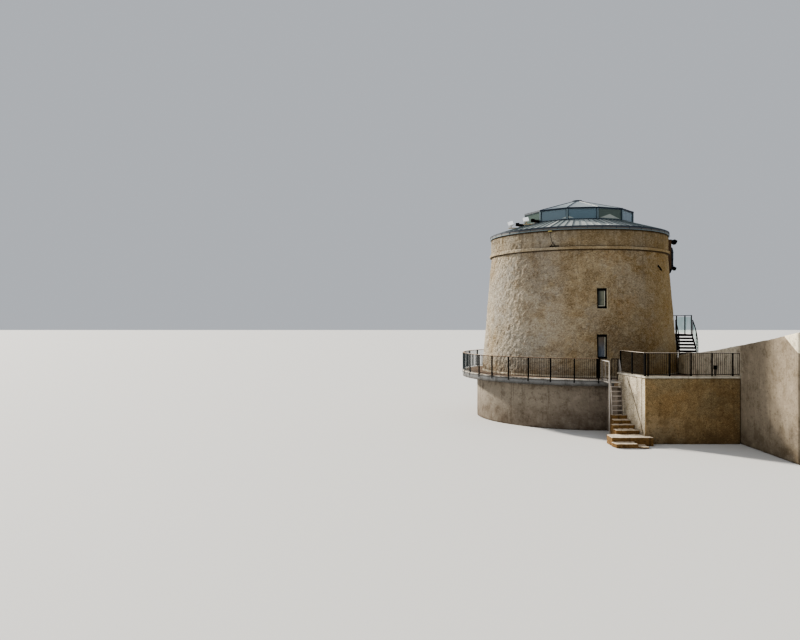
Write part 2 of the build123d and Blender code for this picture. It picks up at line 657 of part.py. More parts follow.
with BuildPart() as terrace_slab:
    with BuildSketch(Plane.XY.offset(Z_SLAB0)):
        Polygon(*TERRACE, align=None)
        Circle(R_SLAB, mode=Mode.SUBTRACT)
    extrude(amount=Z_SLAB1 - Z_SLAB0)
save(terrace_slab.part, "terrace_slab")

BOUNDARY = [(-15200, 5450), (-13900, 5240), (-12700, 5060), (-10650, 4780), (-8660, 4530), (-7400, 4360), (-3100, 3940), (-2540, 3610)]
with BuildPart() as boundary_wall:
    with BuildSketch(Plane((TER_X, 0, 0), x_dir=(0, 1, 0), z_dir=(1, 0, 0))):
        with BuildLine():
            Polyline((-15200, 0), *BOUNDARY, (-2000, 3300), (-2000, 0), close=True)
        make_face()
    extrude(amount=380)
    add(tower_core.part, mode=Mode.SUBTRACT)
    add(deck_disc.part, mode=Mode.SUBTRACT)
    # cut round the foot of the entrance stair
    with BuildSketch(Plane.XY.offset(Z_SLAB1)):
        with BuildLine():
            CenterArc((0, 0), STAIR_RI - 60, STAIR_A0 - 0.8, 20)
            Line(pol(STAIR_RI - 60, STAIR_A0 + 19.2), pol(STAIR_RO + 100, STAIR_A0 + 19.2))
            CenterArc((0, 0), STAIR_RO + 100, STAIR_A0 - 0.8, 20)
            Line(pol(STAIR_RO + 100, STAIR_A0 - 0.8), pol(STAIR_RI - 60, STAIR_A0 - 0.8))
        make_face()
    extrude(amount=2000, mode=Mode.SUBTRACT)
save(boundary_wall.part, "boundary_wall")

POSTS_F = [660, 787, 1828, 2854, 3862, 4859, 5180]
YR = -10270.0
with BuildPart() as terrace_railing_front:
    x0, x1 = POSTS_F[0], POSTS_F[-1]
    z0, z1 = Z_COPE1 + 70, TER_RAIL
    n = round((x1 - x0) / 100)
    gap = (x1 - x0 - 14 * (n + 1)) / n
    with BuildSketch(Plane((0, YR, 0), x_dir=(1, 0, 0), z_dir=(0, -1, 0))):
        with Locations(((x0 + x1) / 2, (z0 + z1) / 2)):
            Rectangle(x1 - x0, z1 - z0)
        for k in range(n):
            with Locations((x0 + 14 + k * (gap + 14) + gap / 2, (z0 + z1) / 2)):
                Rectangle(gap, z1 - z0 - 60, mode=Mode.SUBTRACT)
    extrude(amount=7, both=True)
    with BuildSketch(Plane.XY.offset(z1 - 12)):
        with Locations(((x0 + x1) / 2, YR)):
            Rectangle(x1 - x0, 46)
    extrude(amount=12)
    with BuildSketch(Plane.XY.offset(Z_COPE1)):
        with Locations(*[(x, YR) for x in POSTS_F[:-1]]):
            Rectangle(60, 50)
    extrude(amount=z1 - Z_COPE1)
save(terrace_railing_front.part, "terrace_railing_front")

LA = (640.0, -10200.0)
LB = (312.0, -7600.0)
LLEN = hypot(LB[0] - LA[0], LB[1] - LA[1])
LANG = degrees(atan2(LB[1] - LA[1], LB[0] - LA[0]))
with BuildPart() as terrace_railing_left:
    third = LLEN / 2
    for k in range(2):
        px = LA[0] + (LB[0] - LA[0]) * k / 2
        py = LA[1] + (LB[1] - LA[1]) * k / 2
        with Locations(Location((px, py, 0), (0, 0, LANG))):
            add(rail_bay(third, Z_COPE1, TER_RAIL, Z_COPE1 + 70, 60, 50, Z_COPE1))
    with BuildSketch(Plane.XY.offset(Z_COPE1)):
        with Locations(Location((LB[0], LB[1], 0), (0, 0, LANG))):
            Rectangle(60, 50)
    extrude(amount=TER_RAIL - Z_COPE1)
save(terrace_railing_left.part, "terrace_railing_left")

# ---------------------------------------------------------------- fittings
with BuildPart() as floodlights:
    # lamp heads on short brackets on the roof skirt
    for r, a in ((4300, -165.0), (3900, -150.0)):
        z = Z_SKIRT - (Z_SKIRT - 11160.0) * (r - R_SKIRT) / (R_GUTTER - R_SKIRT)
        with BuildSketch(Plane.XY.offset(z - 60)):
            with Locations(Location(pol(r, a, 0), (0, 0, a))):
                Rectangle(120, 700)
        extrude(amount=180)
        with BuildSketch(Plane.XY.offset(z + 120)):
            with Locations(Location(pol(r, a, 0), (0, 0, a))):
                with Locations((0, -160)):
                    Rectangle(60, 60)
                with Locations((0, 180)):
                    Rectangle(60, 60)
        extrude(amount=60)
        with BuildSketch(Plane.XY.offset(z + 180)):
            with Locations(Location(pol(r, a, 0), (0, 0, a))):
                with Locations((0, -160)):
                    Rectangle(180, 340)
                with Locations((0, 190)):
                    Rectangle(140, 300)
        extrude(amount=120)
    add(roof_skirt.part, mode=Mode.SUBTRACT)
save(floodlights.part, "floodlights")
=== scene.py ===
import bpy
import math
import random
import numpy as np
from mathutils import Matrix, Vector, noise


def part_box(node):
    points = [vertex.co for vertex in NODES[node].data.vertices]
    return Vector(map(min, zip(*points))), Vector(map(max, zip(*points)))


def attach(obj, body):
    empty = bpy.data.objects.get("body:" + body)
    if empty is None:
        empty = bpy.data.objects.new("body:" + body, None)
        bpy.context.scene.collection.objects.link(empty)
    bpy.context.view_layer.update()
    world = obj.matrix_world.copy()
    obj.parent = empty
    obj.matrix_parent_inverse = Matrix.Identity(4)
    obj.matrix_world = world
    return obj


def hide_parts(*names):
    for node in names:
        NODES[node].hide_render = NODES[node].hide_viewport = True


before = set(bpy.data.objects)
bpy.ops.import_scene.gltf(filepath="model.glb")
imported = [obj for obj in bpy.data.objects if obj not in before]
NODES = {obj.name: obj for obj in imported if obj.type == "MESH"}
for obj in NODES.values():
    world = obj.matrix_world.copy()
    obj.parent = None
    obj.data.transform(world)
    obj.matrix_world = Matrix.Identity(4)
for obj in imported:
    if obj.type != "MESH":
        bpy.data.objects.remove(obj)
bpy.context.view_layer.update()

ROOT, GATE = "tower", "gate"
scene = bpy.context.scene

# ------------------------------------------------------------------ sizes repeated from the construction
R_PLINTH, R_SLAB, Z_SLAB0, Z_DECK = 6.230, 7.144, 2.460, 2.800
R0, R1, Z_BAND0, Z_BAND1 = 5.886, 5.297, 9.858, 10.040
R_BAND, R_PAR, Z_PAR = 5.410, 5.324, 11.000
R_GUT, Z_GUT = 5.400, 11.175
R_SK, Z_SK = 3.350, 11.800
R_LAN, A_LAN, Z_EAVE, Z_CAP = 3.348, 6.0, 12.520, 13.440
WIN_A, TOP_DA, DOOR_A = -91.0, 0.5, 3.0
LOW_WIN = (0.556, 3.838, 5.117)
TOP_WIN = (0.540, 6.618, 7.648)
R_RAIL, RAIL_TOP = 7.130, 3.918
TER_Y, TER_X = -10.42, 5.18


def r_wall(z):
    return R0 + (R1 - R0) * (z - Z_DECK) / (Z_BAND0 - Z_DECK)


def left_x(y):
    return 0.600 - 0.1525 * (y - TER_Y)


def pol(r, a, z=0.0):
    a = math.radians(a)
    return Vector((r * math.cos(a), r * math.sin(a), z))


# ------------------------------------------------------------------ material kit
class Mat:
    """Small helper round a node tree."""

    def __init__(self, name):
        self.m = bpy.data.materials.new(name)
        self.m.use_nodes = True
        self.t = self.m.node_tree
        self.t.nodes.clear()
        self.out = self.t.nodes.new("ShaderNodeOutputMaterial")
        self.b = self.t.nodes.new("ShaderNodeBsdfPrincipled")
        self.t.links.new(self.b.outputs[0], self.out.inputs[0])
        self.co = self.t.nodes.new("ShaderNodeTexCoord").outputs["Object"]
        self._sep = None

    def link(self, a, b):
        self.t.links.new(a, b)

    def xyz(self):
        if self._sep is None:
            n = self.t.nodes.new("ShaderNodeSeparateXYZ")
            self.link(self.co, n.inputs[0])
            self._sep = n
        return self._sep.outputs

    def stretch(self, sx=1.0, sy=1.0, sz=1.0, loc=(0, 0, 0)):
        n = self.t.nodes.new("ShaderNodeMapping")
        n.inputs["Scale"].default_value = (sx, sy, sz)
        n.inputs["Location"].default_value = loc
        self.link(self.co, n.inputs["Vector"])
        return n.outputs[0]

    def noise(self, scale, detail=4.0, rough=0.55, vec=None, distort=0.0):
        n = self.t.nodes.new("ShaderNodeTexNoise")
        n.inputs["Scale"].default_value = scale
        n.inputs["Detail"].default_value = detail
        n.inputs["Roughness"].default_value = rough
        n.inputs["Distortion"].default_value = distort
        self.link(vec or self.co, n.inputs["Vector"])
        return n.outputs[0]

    def voronoi(self, scale, vec=None, feature="F1", rand=1.0):
        n = self.t.nodes.new("ShaderNodeTexVoronoi")
        n.feature = feature
        n.inputs["Scale"].default_value = scale
        n.inputs["Randomness"].default_value = rand
        self.link(vec or self.co, n.inputs["Vector"])
        return n

    def ramp(self, fac, lo, hi, a=0.0, b=1.0, ease=True):
        n = self.t.nodes.new("ShaderNodeMapRange")
        if ease:
            n.interpolation_type = "SMOOTHSTEP"
        n.inputs["From Min"].default_value = lo
        n.inputs["From Max"].default_value = hi
        n.inputs["To Min"].default_value = a
        n.inputs["To Max"].default_value = b
        self.link(fac, n.inputs["Value"])
        return n.outputs[0]

    def math(self, op, a, b=None, c=None):
        n = self.t.nodes.new("ShaderNodeMath")
        n.operation = op
        for i, v in enumerate((a, b, c)):
            if v is None:
                continue
            if isinstance(v, (int, float)):
                n.inputs[i].default_value = v
            else:
                self.link(v, n.inputs[i])
        return n.outputs[0]

    def mix(self, fac, a, b, mode="MIX"):
        n = self.t.nodes.new("ShaderNodeMix")
        n.data_type = "RGBA"
        n.blend_type = mode
        for sock, v in ((n.inputs["Factor"], fac), (n.inputs["A"], a), (n.inputs["B"], b)):
            pass
        ins = [s for s in n.inputs if s.enabled]
        fa, ia, ib = [s for s in n.inputs if s.type == "VALUE" and s.enabled][0], None, None
        cols = [s for s in n.inputs if s.type == "RGBA"]
        ia, ib = cols[0], cols[1]
        if isinstance(fac, (int, float)):
            fa.default_value = fac
        else:
            self.link(fac, fa)
        for s, v in ((ia, a), (ib, b)):
            if isinstance(v, tuple):
                s.default_value = (*v[:3], 1.0)
            else:
                self.link(v, s)
        return [s for s in n.outputs if s.type == "RGBA"][0]

    def color(self, v):
        if isinstance(v, tuple):
            self.b.inputs["Base Color"].default_value = (*v[:3], 1.0)
        else:
            self.link(v, self.b.inputs["Base Color"])

    def bump(self, height, strength=0.5, dist=0.01, prev=None):
        n = self.t.nodes.new("ShaderNodeBump")
        n.inputs["Strength"].default_value = strength
        n.inputs["Distance"].default_value = dist
        self.link(height, n.inputs["Height"])
        if prev is not None:
            self.link(prev, n.inputs["Normal"])
        self.link(n.outputs[0], self.b.inputs["Normal"])
        return n.outputs[0]

    def rough(self, v):
        if isinstance(v, (int, float)):
            self.b.inputs["Roughness"].default_value = v
        else:
            self.link(v, self.b.inputs["Roughness"])

    def set(self, **kw):
        for k, v in kw.items():
            self.b.inputs[k.replace("_", " ")].default_value = v


def srgb(r, g, b):
    f = lambda c: ((c / 255 + 0.055) / 1.055) ** 2.4 if c / 255 > 0.04045 else c / 255 / 12.92
    return (f(r), f(g), f(b))


# ------------------------------------------------------------------ materials
def render_material():
    """Rough lime render on the drum, weathered: grey patches, tan ground, brown runs; with painted shade on the shaded
    right side, in pits and stroke hollows and under the gutter and string course, and painted light on the humps, the
    far right and the deck-level band on the left.
    """
    k = Mat("lime_render")
    x, y, z = k.xyz()
    side = k.ramp(x, -5.0, 4.6)
    # ground colour: greyish cream on the left, ochre brown towards the entrance on the right, the brown partly stain
    # and partly painted shade of the shaded right side
    c = k.mix(k.noise(0.8, 6, 0.6), srgb(194, 179, 153), srgb(166, 148, 118))
    brown = k.ramp(k.noise(0.5, 6, 0.62, k.stretch(1, 1, 1, (9, 4, 7))), 0.36, 0.64)
    c = k.mix(k.math("MULTIPLY", brown, k.math("ADD", k.math("MULTIPLY", side, 0.70), 0.14)), c, srgb(134, 107, 68))
    c = k.mix(k.math("MULTIPLY", side, 0.44), c, srgb(132, 108, 58))
    grey = k.ramp(k.noise(0.40, 7, 0.64, k.stretch(1, 1, 0.8, (3, 1, 2))), 0.47, 0.56)
    c = k.mix(k.math("MULTIPLY", grey, k.math("SUBTRACT", 0.75, k.math("MULTIPLY", side, 0.72))), c, srgb(154, 148, 137))
    # painted shade: a cool grey cast towards the left, the skylit tint of the shade beside the sunlit limb
    cool = k.math("MULTIPLY", k.ramp(x, -1.5, -2.9), k.ramp(k.noise(0.55, 5, 0.6, k.stretch(1, 1, 0.8, (8, 8, 2))), 0.30, 0.52))
    c = k.mix(k.math("MULTIPLY", cool, 0.48), c, srgb(190, 186, 178))
    broad = k.noise(0.30, 7, 0.62, k.stretch(1, 1, 1.15, (6, 2, 9)))
    c = k.mix(k.math("MULTIPLY", k.ramp(broad, 0.51, 0.57), 0.34), c, srgb(104, 84, 52))
    c = k.mix(k.math("MULTIPLY", k.ramp(broad, 0.48, 0.42), 0.32), c, srgb(176, 168, 152))
    # blotches, mottling and grit at three smaller sizes
    blot = k.noise(1.9, 6, 0.68, k.stretch(1, 1, 1.1, (1, 8, 3)))
    c = k.mix(k.math("MULTIPLY", k.ramp(blot, 0.53, 0.62), 0.38), c, srgb(110, 86, 52))
    c = k.mix(k.math("MULTIPLY", k.ramp(blot, 0.46, 0.38), 0.26), c, srgb(188, 178, 158))
    warm = k.ramp(k.noise(0.75, 6, 0.68, k.stretch(1, 1, 0.9, (2, 7, 5))), 0.48, 0.70)
    c = k.mix(k.math("MULTIPLY", k.math("MULTIPLY", warm, k.ramp(x, -2.0, 2.0)), 0.50), c, srgb(140, 104, 52))
    # painted light: the far right lightened to lift the shade there
    c = k.mix(k.math("MULTIPLY", k.ramp(x, 2.2, 4.6), 0.44), c, srgb(178, 148, 90))
    # mottling that follows the bump: partly mottled colour, partly painted shade in the pits and painted light on the
    # humps
    mot = k.noise(4.6, 5, 0.72, k.stretch(1, 1, 1.5, (5, 5, 1)), 1.1)
    c = k.mix(k.math("MULTIPLY", k.ramp(mot, 0.52, 0.66), 0.42), c, srgb(94, 75, 50))
    c = k.mix(k.math("MULTIPLY", k.ramp(mot, 0.46, 0.33), 0.30), c, srgb(206, 192, 164))
    # short trowel strokes painted into the colour: painted shade in their hollows and a painted highlight on their lip
    lay = k.noise(3.6, 3, 0.62, k.stretch(1, 1, 1.6, (3, 8, 2)), 1.0)
    c = k.mix(k.math("MULTIPLY", k.ramp(k.math("ABSOLUTE", k.math("SUBTRACT", lay, 0.50)), 0.075, 0.0), 0.26), c, srgb(86, 68, 44))
    c = k.mix(k.math("MULTIPLY", k.ramp(k.math("ABSOLUTE", k.math("SUBTRACT", lay, 0.60)), 0.060, 0.0), 0.18), c, srgb(208, 194, 166))
    fine = k.noise(8.5, 3, 0.65, k.stretch(1, 1, 1.7, (6, 1, 4)), 0.8)
    c = k.mix(k.math("MULTIPLY", k.ramp(k.math("ABSOLUTE", k.math("SUBTRACT", fine, 0.50)), 0.070, 0.0), 0.16), c, srgb(82, 64, 42))
    c = k.mix(k.math("MULTIPLY", k.ramp(k.math("ABSOLUTE", k.math("SUBTRACT", fine, 0.62)), 0.070, 0.0), 0.13), c, srgb(212, 198, 170))
    # grit that follows the fine bump: partly grit colour, partly painted shade in the pits and painted light on the
    # grains
    grit = k.noise(15, 5, 0.8, k.stretch(1, 1, 1.3), 0.8)
    c = k.mix(k.math("MULTIPLY", k.ramp(grit, 0.53, 0.63), 0.56), c, srgb(78, 62, 40))
    c = k.mix(k.math("MULTIPLY", k.ramp(grit, 0.46, 0.36), 0.44), c, srgb(216, 202, 174))
    # thin dark runs below the ledges
    run = k.ramp(k.noise(2.1, 5, 0.6, k.stretch(1.6, 1.6, 0.05)), 0.52, 0.68)
    fade = k.math("ADD", k.ramp(z, 6.2, 9.8), k.math("MULTIPLY", k.ramp(z, 10.04, 10.1), 0.4))
    c = k.mix(k.math("MULTIPLY", run, k.math("MULTIPLY", fade, 0.34)), c, srgb(96, 80, 58))
    drip = k.ramp(k.noise(3.2, 4, 0.6, k.stretch(1.5, 1.5, 0.12, (2, 2, 2))), 0.42, 0.62)
    c = k.mix(k.math("MULTIPLY", k.math("MULTIPLY", k.ramp(z, 10.30, 11.0), drip), 0.62), c, srgb(98, 82, 56))
    c = k.mix(k.math("MULTIPLY", k.ramp(z, 10.05, 10.12), 0.28), c, srgb(110, 98, 76))
    # dark band just under the gutter: partly stain, partly painted shadow of the gutter
    c = k.mix(k.math("MULTIPLY", k.ramp(z, 10.85, 10.95), 0.85), c, srgb(60, 46, 30))
    # painted shadow with some dirt in a dark line under the string course, a dark line along its top, paler on its face
    band = k.math("MULTIPLY", k.ramp(z, 9.868, 9.885), k.ramp(z, 10.035, 10.015))
    c = k.mix(k.math("MULTIPLY", band, 0.22), c, srgb(190, 172, 138))
    low = k.math("MULTIPLY", k.ramp(z, 9.78, 9.845), k.ramp(z, 9.885, 9.868))
    c = k.mix(k.math("MULTIPLY", low, 0.85), c, srgb(58, 46, 34))
    top = k.math("MULTIPLY", k.math("MULTIPLY", k.ramp(z, 10.018, 10.034), k.ramp(z, 10.085, 10.06)), k.ramp(k.noise(0.45, 5, 0.6), 0.34, 0.56))
    c = k.mix(k.math("MULTIPLY", top, 0.70), c, srgb(62, 52, 40))
    # splashed foot; at deck level a pale band, partly a pale kerb and partly painted sunlight, stronger towards the
    # sunlit left
    foot = k.math("MULTIPLY", k.ramp(z, 3.75, 2.85), k.ramp(k.noise(1.5, 5, 0.65), 0.34, 0.62))
    c = k.mix(k.math("MULTIPLY", foot, 0.55), c, srgb(124, 96, 54))
    kerb_and_sunlight = k.math("ADD", 0.55, k.math("MULTIPLY", k.ramp(x, -2.0, -4.2), 0.35))
    c = k.mix(k.math("MULTIPLY", k.ramp(z, 2.925, 2.900), kerb_and_sunlight), c, srgb(222, 212, 190))
    k.color(c)
    k.rough(k.ramp(mot, 0.3, 0.7, 0.86, 0.97))
    k.set(Specular_IOR_Level=0.15)
    n1 = k.bump(k.math("SUBTRACT", 1.0, mot), 1.0, 0.09)
    n2 = k.bump(k.math("SUBTRACT", 1.0, grit), 1.0, 0.03, n1)
    k.bump(k.noise(60, 3, 0.7), 0.5, 0.003, n2)
    return k.m


def masonry(name, light, dark, stain, scale=1.0, run=0.5, bump=0.5, zlo=None, zhi=None, speckle=0.4, after=None):
    k = Mat(name)
    x, y, z = k.xyz()
    c = k.mix(k.noise(1.0 * scale, 6, 0.62), light, dark)
    if after:
        c = after(k, c)
    blot = k.noise(2.4 * scale, 6, 0.68)
    mid = tuple(0.45 * a + 0.55 * b for a, b in zip(dark, stain))
    c = k.mix(k.math("MULTIPLY", k.ramp(blot, 0.50, 0.64), 0.55), c, mid)
    c = k.mix(k.math("MULTIPLY", k.ramp(blot, 0.46, 0.34), 0.40), c, tuple(min(1.0, v * 1.25) for v in light))
    runs = k.ramp(k.noise(2.6, 5, 0.6, k.stretch(1.7, 1.7, 0.08)), 0.52, 0.68)
    c = k.mix(k.math("MULTIPLY", runs, run), c, stain)
    if zlo is not None:
        c = k.mix(k.math("MULTIPLY", k.ramp(z, zhi, zlo), k.math("MULTIPLY", k.noise(1.7, 4), 1.1)), c, stain)
    mot = k.noise(8.0, 5, 0.7, k.stretch(1, 1, 1.2, (3, 2, 1)))
    c = k.mix(k.math("MULTIPLY", k.ramp(mot, 0.55, 0.68), speckle * 1.2), c, tuple(v * 0.75 for v in stain))
    c = k.mix(k.math("MULTIPLY", k.ramp(mot, 0.44, 0.33), speckle * 0.8), c, tuple(min(1.0, v * 1.2) for v in light))
    grit = k.noise(24, 4, 0.7)
    c = k.mix(k.math("MULTIPLY", k.ramp(grit, 0.57, 0.70), speckle), c, tuple(v * 0.55 for v in stain))
    k.color(c)
    k.rough(k.ramp(blot, 0.3, 0.7, 0.84, 0.97))
    k.set(Specular_IOR_Level=0.2)
    n1 = k.bump(mot, bump, 0.03)
    n2 = k.bump(grit, bump, 0.010, n1)
    k.bump(k.noise(70, 3, 0.7), bump, 0.003, n2)
    return k.m


def paint(name, col, col2, rough=0.45, metal=0.0, scale=3.0, rust=0.0, spec=0.5):
    k = Mat(name)
    k.set(Specular_IOR_Level=spec)
    c = k.mix(k.noise(scale, 5, 0.6), col, col2)
    if rust:
        c = k.mix(k.math("MULTIPLY", k.ramp(k.noise(9, 5, 0.7), 0.60, 0.72), rust), c, srgb(96, 58, 34))
    k.color(c)
    k.rough(k.ramp(k.noise(14, 4), 0.3, 0.7, max(0.05, rough - 0.1), min(1.0, rough + 0.15)))
    k.set(Metallic=metal)
    k.bump(k.noise(120, 3), 0.15, 0.001)
    return k.m


def zinc(name, light, dark, seam_count=0):
    """Weathered sheet metal: each sheet its own tone, with mottled patches; facets without seams take painted shade,
    darker and bluer on the left side.
    """
    k = Mat(name)
    x, y, z = k.xyz()
    ang = k.math("ARCTAN2", y, x)
    if seam_count:
        idx = k.math("FLOOR", k.math("MULTIPLY", ang, seam_count / (2 * math.pi)))
        n = k.t.nodes.new("ShaderNodeTexWhiteNoise")
        n.noise_dimensions = "1D"
        k.link(idx, n.inputs["W"])
        tone = n.outputs["Value"]
    else:
        tone = k.noise(0.8, 2)
    c = k.mix(tone, light, dark)
    c = k.mix(k.math("MULTIPLY", k.ramp(k.noise(4, 5, 0.65), 0.5, 0.7), 0.35), c, srgb(120, 128, 126))
    c = k.mix(k.math("MULTIPLY", k.ramp(k.noise(30, 3, 0.7), 0.6, 0.75), 0.25), c, srgb(90, 94, 92))
    if not seam_count:
        # painted shade: darker and bluer on the left side
        left_shade = k.ramp(x, -0.2, -2.6)
        c = k.mix(k.math("MULTIPLY", left_shade, 0.90), c, srgb(84, 97, 110))
    k.color(c)
    k.set(Metallic=0.35)
    k.rough(k.ramp(k.noise(6, 4), 0.3, 0.7, 0.38, 0.6))
    k.bump(k.noise(3.0, 3), 0.25, 0.01)
    return k.m


def glass(name, tint, body, trans, rough=0.05):
    k = Mat(name)
    k.color(k.mix(k.ramp(k.noise(1.3, 3), 0.35, 0.65), tint, body))
    k.set(Transmission_Weight=trans, IOR=1.45, Specular_IOR_Level=0.9)
    k.rough(k.ramp(k.noise(5, 4, 0.6), 0.3, 0.8, rough, rough + 0.12))
    return k.m


def lantern_glass():
    """Lantern panes: every side of the lantern has its own tone and depth, with painted reflections on some sides."""
    k = Mat("lantern_tint_reflections")
    x, y, z = k.xyz()
    ang = k.math("ARCTAN2", y, x)
    idx = k.math("FLOOR", k.math("MULTIPLY", k.math("SUBTRACT", ang, math.radians(A_LAN)), 12 / (2 * math.pi)))
    n = k.t.nodes.new("ShaderNodeTexWhiteNoise")
    n.noise_dimensions = "1D"
    k.link(idx, n.inputs["W"])
    c = k.mix(n.outputs["Value"], srgb(112, 136, 148), srgb(82, 108, 124))
    # painted reflection: a dark olive cast on groups of sides; the sides past -55 degrees paler blue
    green = k.math("ADD", k.ramp(ang, math.radians(-84), math.radians(-83)), k.math("MULTIPLY", k.ramp(ang, math.radians(-143), math.radians(-144)), k.ramp(ang, math.radians(-60), math.radians(-61))))
    c = k.mix(k.math("MULTIPLY", k.math("MULTIPLY", green, k.ramp(ang, math.radians(-54), math.radians(-55))), 0.85), c, srgb(84, 98, 84))
    c = k.mix(k.math("MULTIPLY", k.ramp(ang, math.radians(-55), math.radians(-53)), 0.6), c, srgb(128, 150, 164))
    # painted reflection: pale peaks low in two panes
    for px, py, w, top in ((1.15, -3.05, 0.80, 12.16), (-1.30, -3.00, 0.75, 12.05)):
        dx = k.math("ABSOLUTE", k.math("SUBTRACT", x, px))
        peak = k.math("SUBTRACT", top, k.math("MULTIPLY", dx, 0.30 / w))
        up = k.math("MULTIPLY", k.ramp(k.math("SUBTRACT", peak, z), -0.01, 0.02), k.ramp(dx, w, w - 0.06))
        up = k.math("MULTIPLY", k.math("MULTIPLY", up, k.ramp(z, 11.90, 11.93)), k.ramp(y, -2.0, -2.2))
        c = k.mix(k.math("MULTIPLY", up, 0.75), c, srgb(206, 212, 204))
    k.color(c)
    k.set(Transmission_Weight=0.22, IOR=1.5, Specular_IOR_Level=0.6)
    k.rough(k.ramp(k.noise(4, 4, 0.6), 0.3, 0.8, 0.05, 0.16))
    return k.m


def window_glass():
    """Panes painted dark at one side and pale at the other, a painted reflection; the lower panes grey-brown at the top
    to grey-blue below.
    """
    k = Mat("window_pane")
    x, y, z = k.xyz()
    pale = k.ramp(k.math("ADD", x, k.math("MULTIPLY", k.noise(2.2, 3), 0.10)), -0.16, 0.06)
    c = k.mix(pale, srgb(58, 62, 54), srgb(124, 126, 108))
    c = k.mix(k.math("MULTIPLY", k.ramp(z, 5.2, 5.1), 1.0), c, k.mix(k.ramp(z, 4.95, 4.15), srgb(84, 70, 52), srgb(92, 102, 116)))
    c = k.mix(k.math("MULTIPLY", k.ramp(k.noise(7, 4), 0.5, 0.7), 0.25), c, srgb(52, 58, 62))
    k.color(c)
    k.set(Transmission_Weight=0.25, IOR=1.45, Specular_IOR_Level=0.6)
    k.rough(k.ramp(k.noise(5, 4, 0.6), 0.3, 0.8, 0.05, 0.18))
    return k.m


def clear_glass():
    k = Mat("stair_pane")
    k.color(k.mix(k.ramp(k.noise(1.6, 3), 0.35, 0.65), srgb(232, 244, 240), srgb(206, 226, 220)))
    k.set(Transmission_Weight=1.0, IOR=1.05, Specular_IOR_Level=0.5)
    k.rough(k.ramp(k.noise(5, 4, 0.6), 0.3, 0.8, 0.02, 0.08))
    return k.m


def gutter_paint():
    """Gutter: dark rolled lip above, paler weathered face below."""
    k = Mat("gutter_paint")
    x, y, z = k.xyz()
    lip = k.mix(k.noise(1.4, 5, 0.6), srgb(44, 52, 64), srgb(62, 66, 76))
    face = k.mix(k.noise(1.8, 5, 0.65), srgb(108, 107, 102), srgb(76, 74, 69))
    c = k.mix(k.ramp(k.math("ADD", z, k.math("MULTIPLY", k.noise(3, 3), 0.008)), 11.078, 11.098), face, lip)
    c = k.mix(k.math("MULTIPLY", k.ramp(k.noise(2.6, 5, 0.7, k.stretch(1.5, 1.5, 0.3)), 0.55, 0.68), 0.5), c, srgb(74, 64, 52))
    k.color(c)
    k.rough(k.ramp(k.noise(14, 4), 0.3, 0.7, 0.42, 0.68))
    k.set(Specular_IOR_Level=0.3)
    k.bump(k.noise(40, 3), 0.2, 0.002)
    return k.m


def guard_steel():
    """Galvanised tube: bright outer loop, dull inner bars."""
    k = Mat("guard_steel")
    x, y, z = k.xyz()
    c = k.mix(k.noise(18, 5, 0.6), srgb(206, 202, 196), srgb(156, 150, 144))
    inner = k.math("MULTIPLY", k.ramp(y, -8.525, -8.505), k.ramp(z, 3.826, 3.812))
    c = k.mix(k.math("MULTIPLY", inner, 0.80), c, srgb(86, 80, 76))
    k.color(c)
    k.rough(k.ramp(k.noise(14, 4), 0.3, 0.7, 0.38, 0.6))
    k.set(Metallic=0.25)
    k.bump(k.noise(120, 3), 0.15, 0.001)
    return k.m


def tread_steel():
    """Galvanised treads; the stringer against the wall is darker: painted shade."""
    k = Mat("tread_steel")
    x, y, z = k.xyz()
    c = k.mix(k.noise(12, 5, 0.6), srgb(186, 178, 170), srgb(132, 124, 116))
    c = k.mix(k.math("MULTIPLY", k.ramp(x, 0.088, 0.100), 0.80), c, srgb(70, 60, 50))
    c = k.mix(k.math("MULTIPLY", k.ramp(k.noise(5, 5, 0.7), 0.52, 0.66), 0.45), c, srgb(104, 92, 80))
    k.color(c)
    k.rough(k.ramp(k.noise(14, 4), 0.3, 0.7, 0.42, 0.64))
    k.set(Metallic=0.15)
    k.bump(k.noise(120, 3), 0.15, 0.001)
    return k.m


def black_paint_sunlit():
    """Black railing paint, greyed by painted sunlight on the bars at the left and at the back."""
    k = Mat("black_paint_sunlit")
    x, y, z = k.xyz()
    c = k.mix(k.noise(4.0, 5, 0.6), (0.0022, 0.0020, 0.0018), (0.006, 0.005, 0.0042))
    # painted sunlight: grey-blue on the bars at the left and at the back
    sunlit_grey = k.math("MULTIPLY", k.ramp(y, -3.2, -0.5), k.ramp(k.noise(9, 4, 0.6), 0.30, 0.55))
    sunlit_grey = k.math("MULTIPLY", sunlit_grey, k.ramp(x, 0.0, -5.0))
    c = k.mix(k.math("MULTIPLY", sunlit_grey, 0.75), c, srgb(80, 90, 94))
    c = k.mix(k.math("MULTIPLY", k.ramp(k.noise(9, 5, 0.7), 0.60, 0.72), 0.12), c, srgb(96, 58, 34))
    k.color(c)
    k.rough(k.ramp(k.noise(14, 4), 0.3, 0.7, 0.65, 0.85))
    k.set(Specular_IOR_Level=0.08)
    k.bump(k.noise(120, 3), 0.15, 0.001)
    return k.m


def lens_paint():
    k = Mat("lamp_lens")
    k.color(k.mix(k.noise(6, 4, 0.6), srgb(250, 250, 252), srgb(232, 234, 238)))
    k.rough(k.ramp(k.noise(9, 4), 0.3, 0.7, 0.2, 0.4))
    k.set(Emission_Color=(0.95, 0.96, 1.0, 1.0), Emission_Strength=0.30)
    return k.m


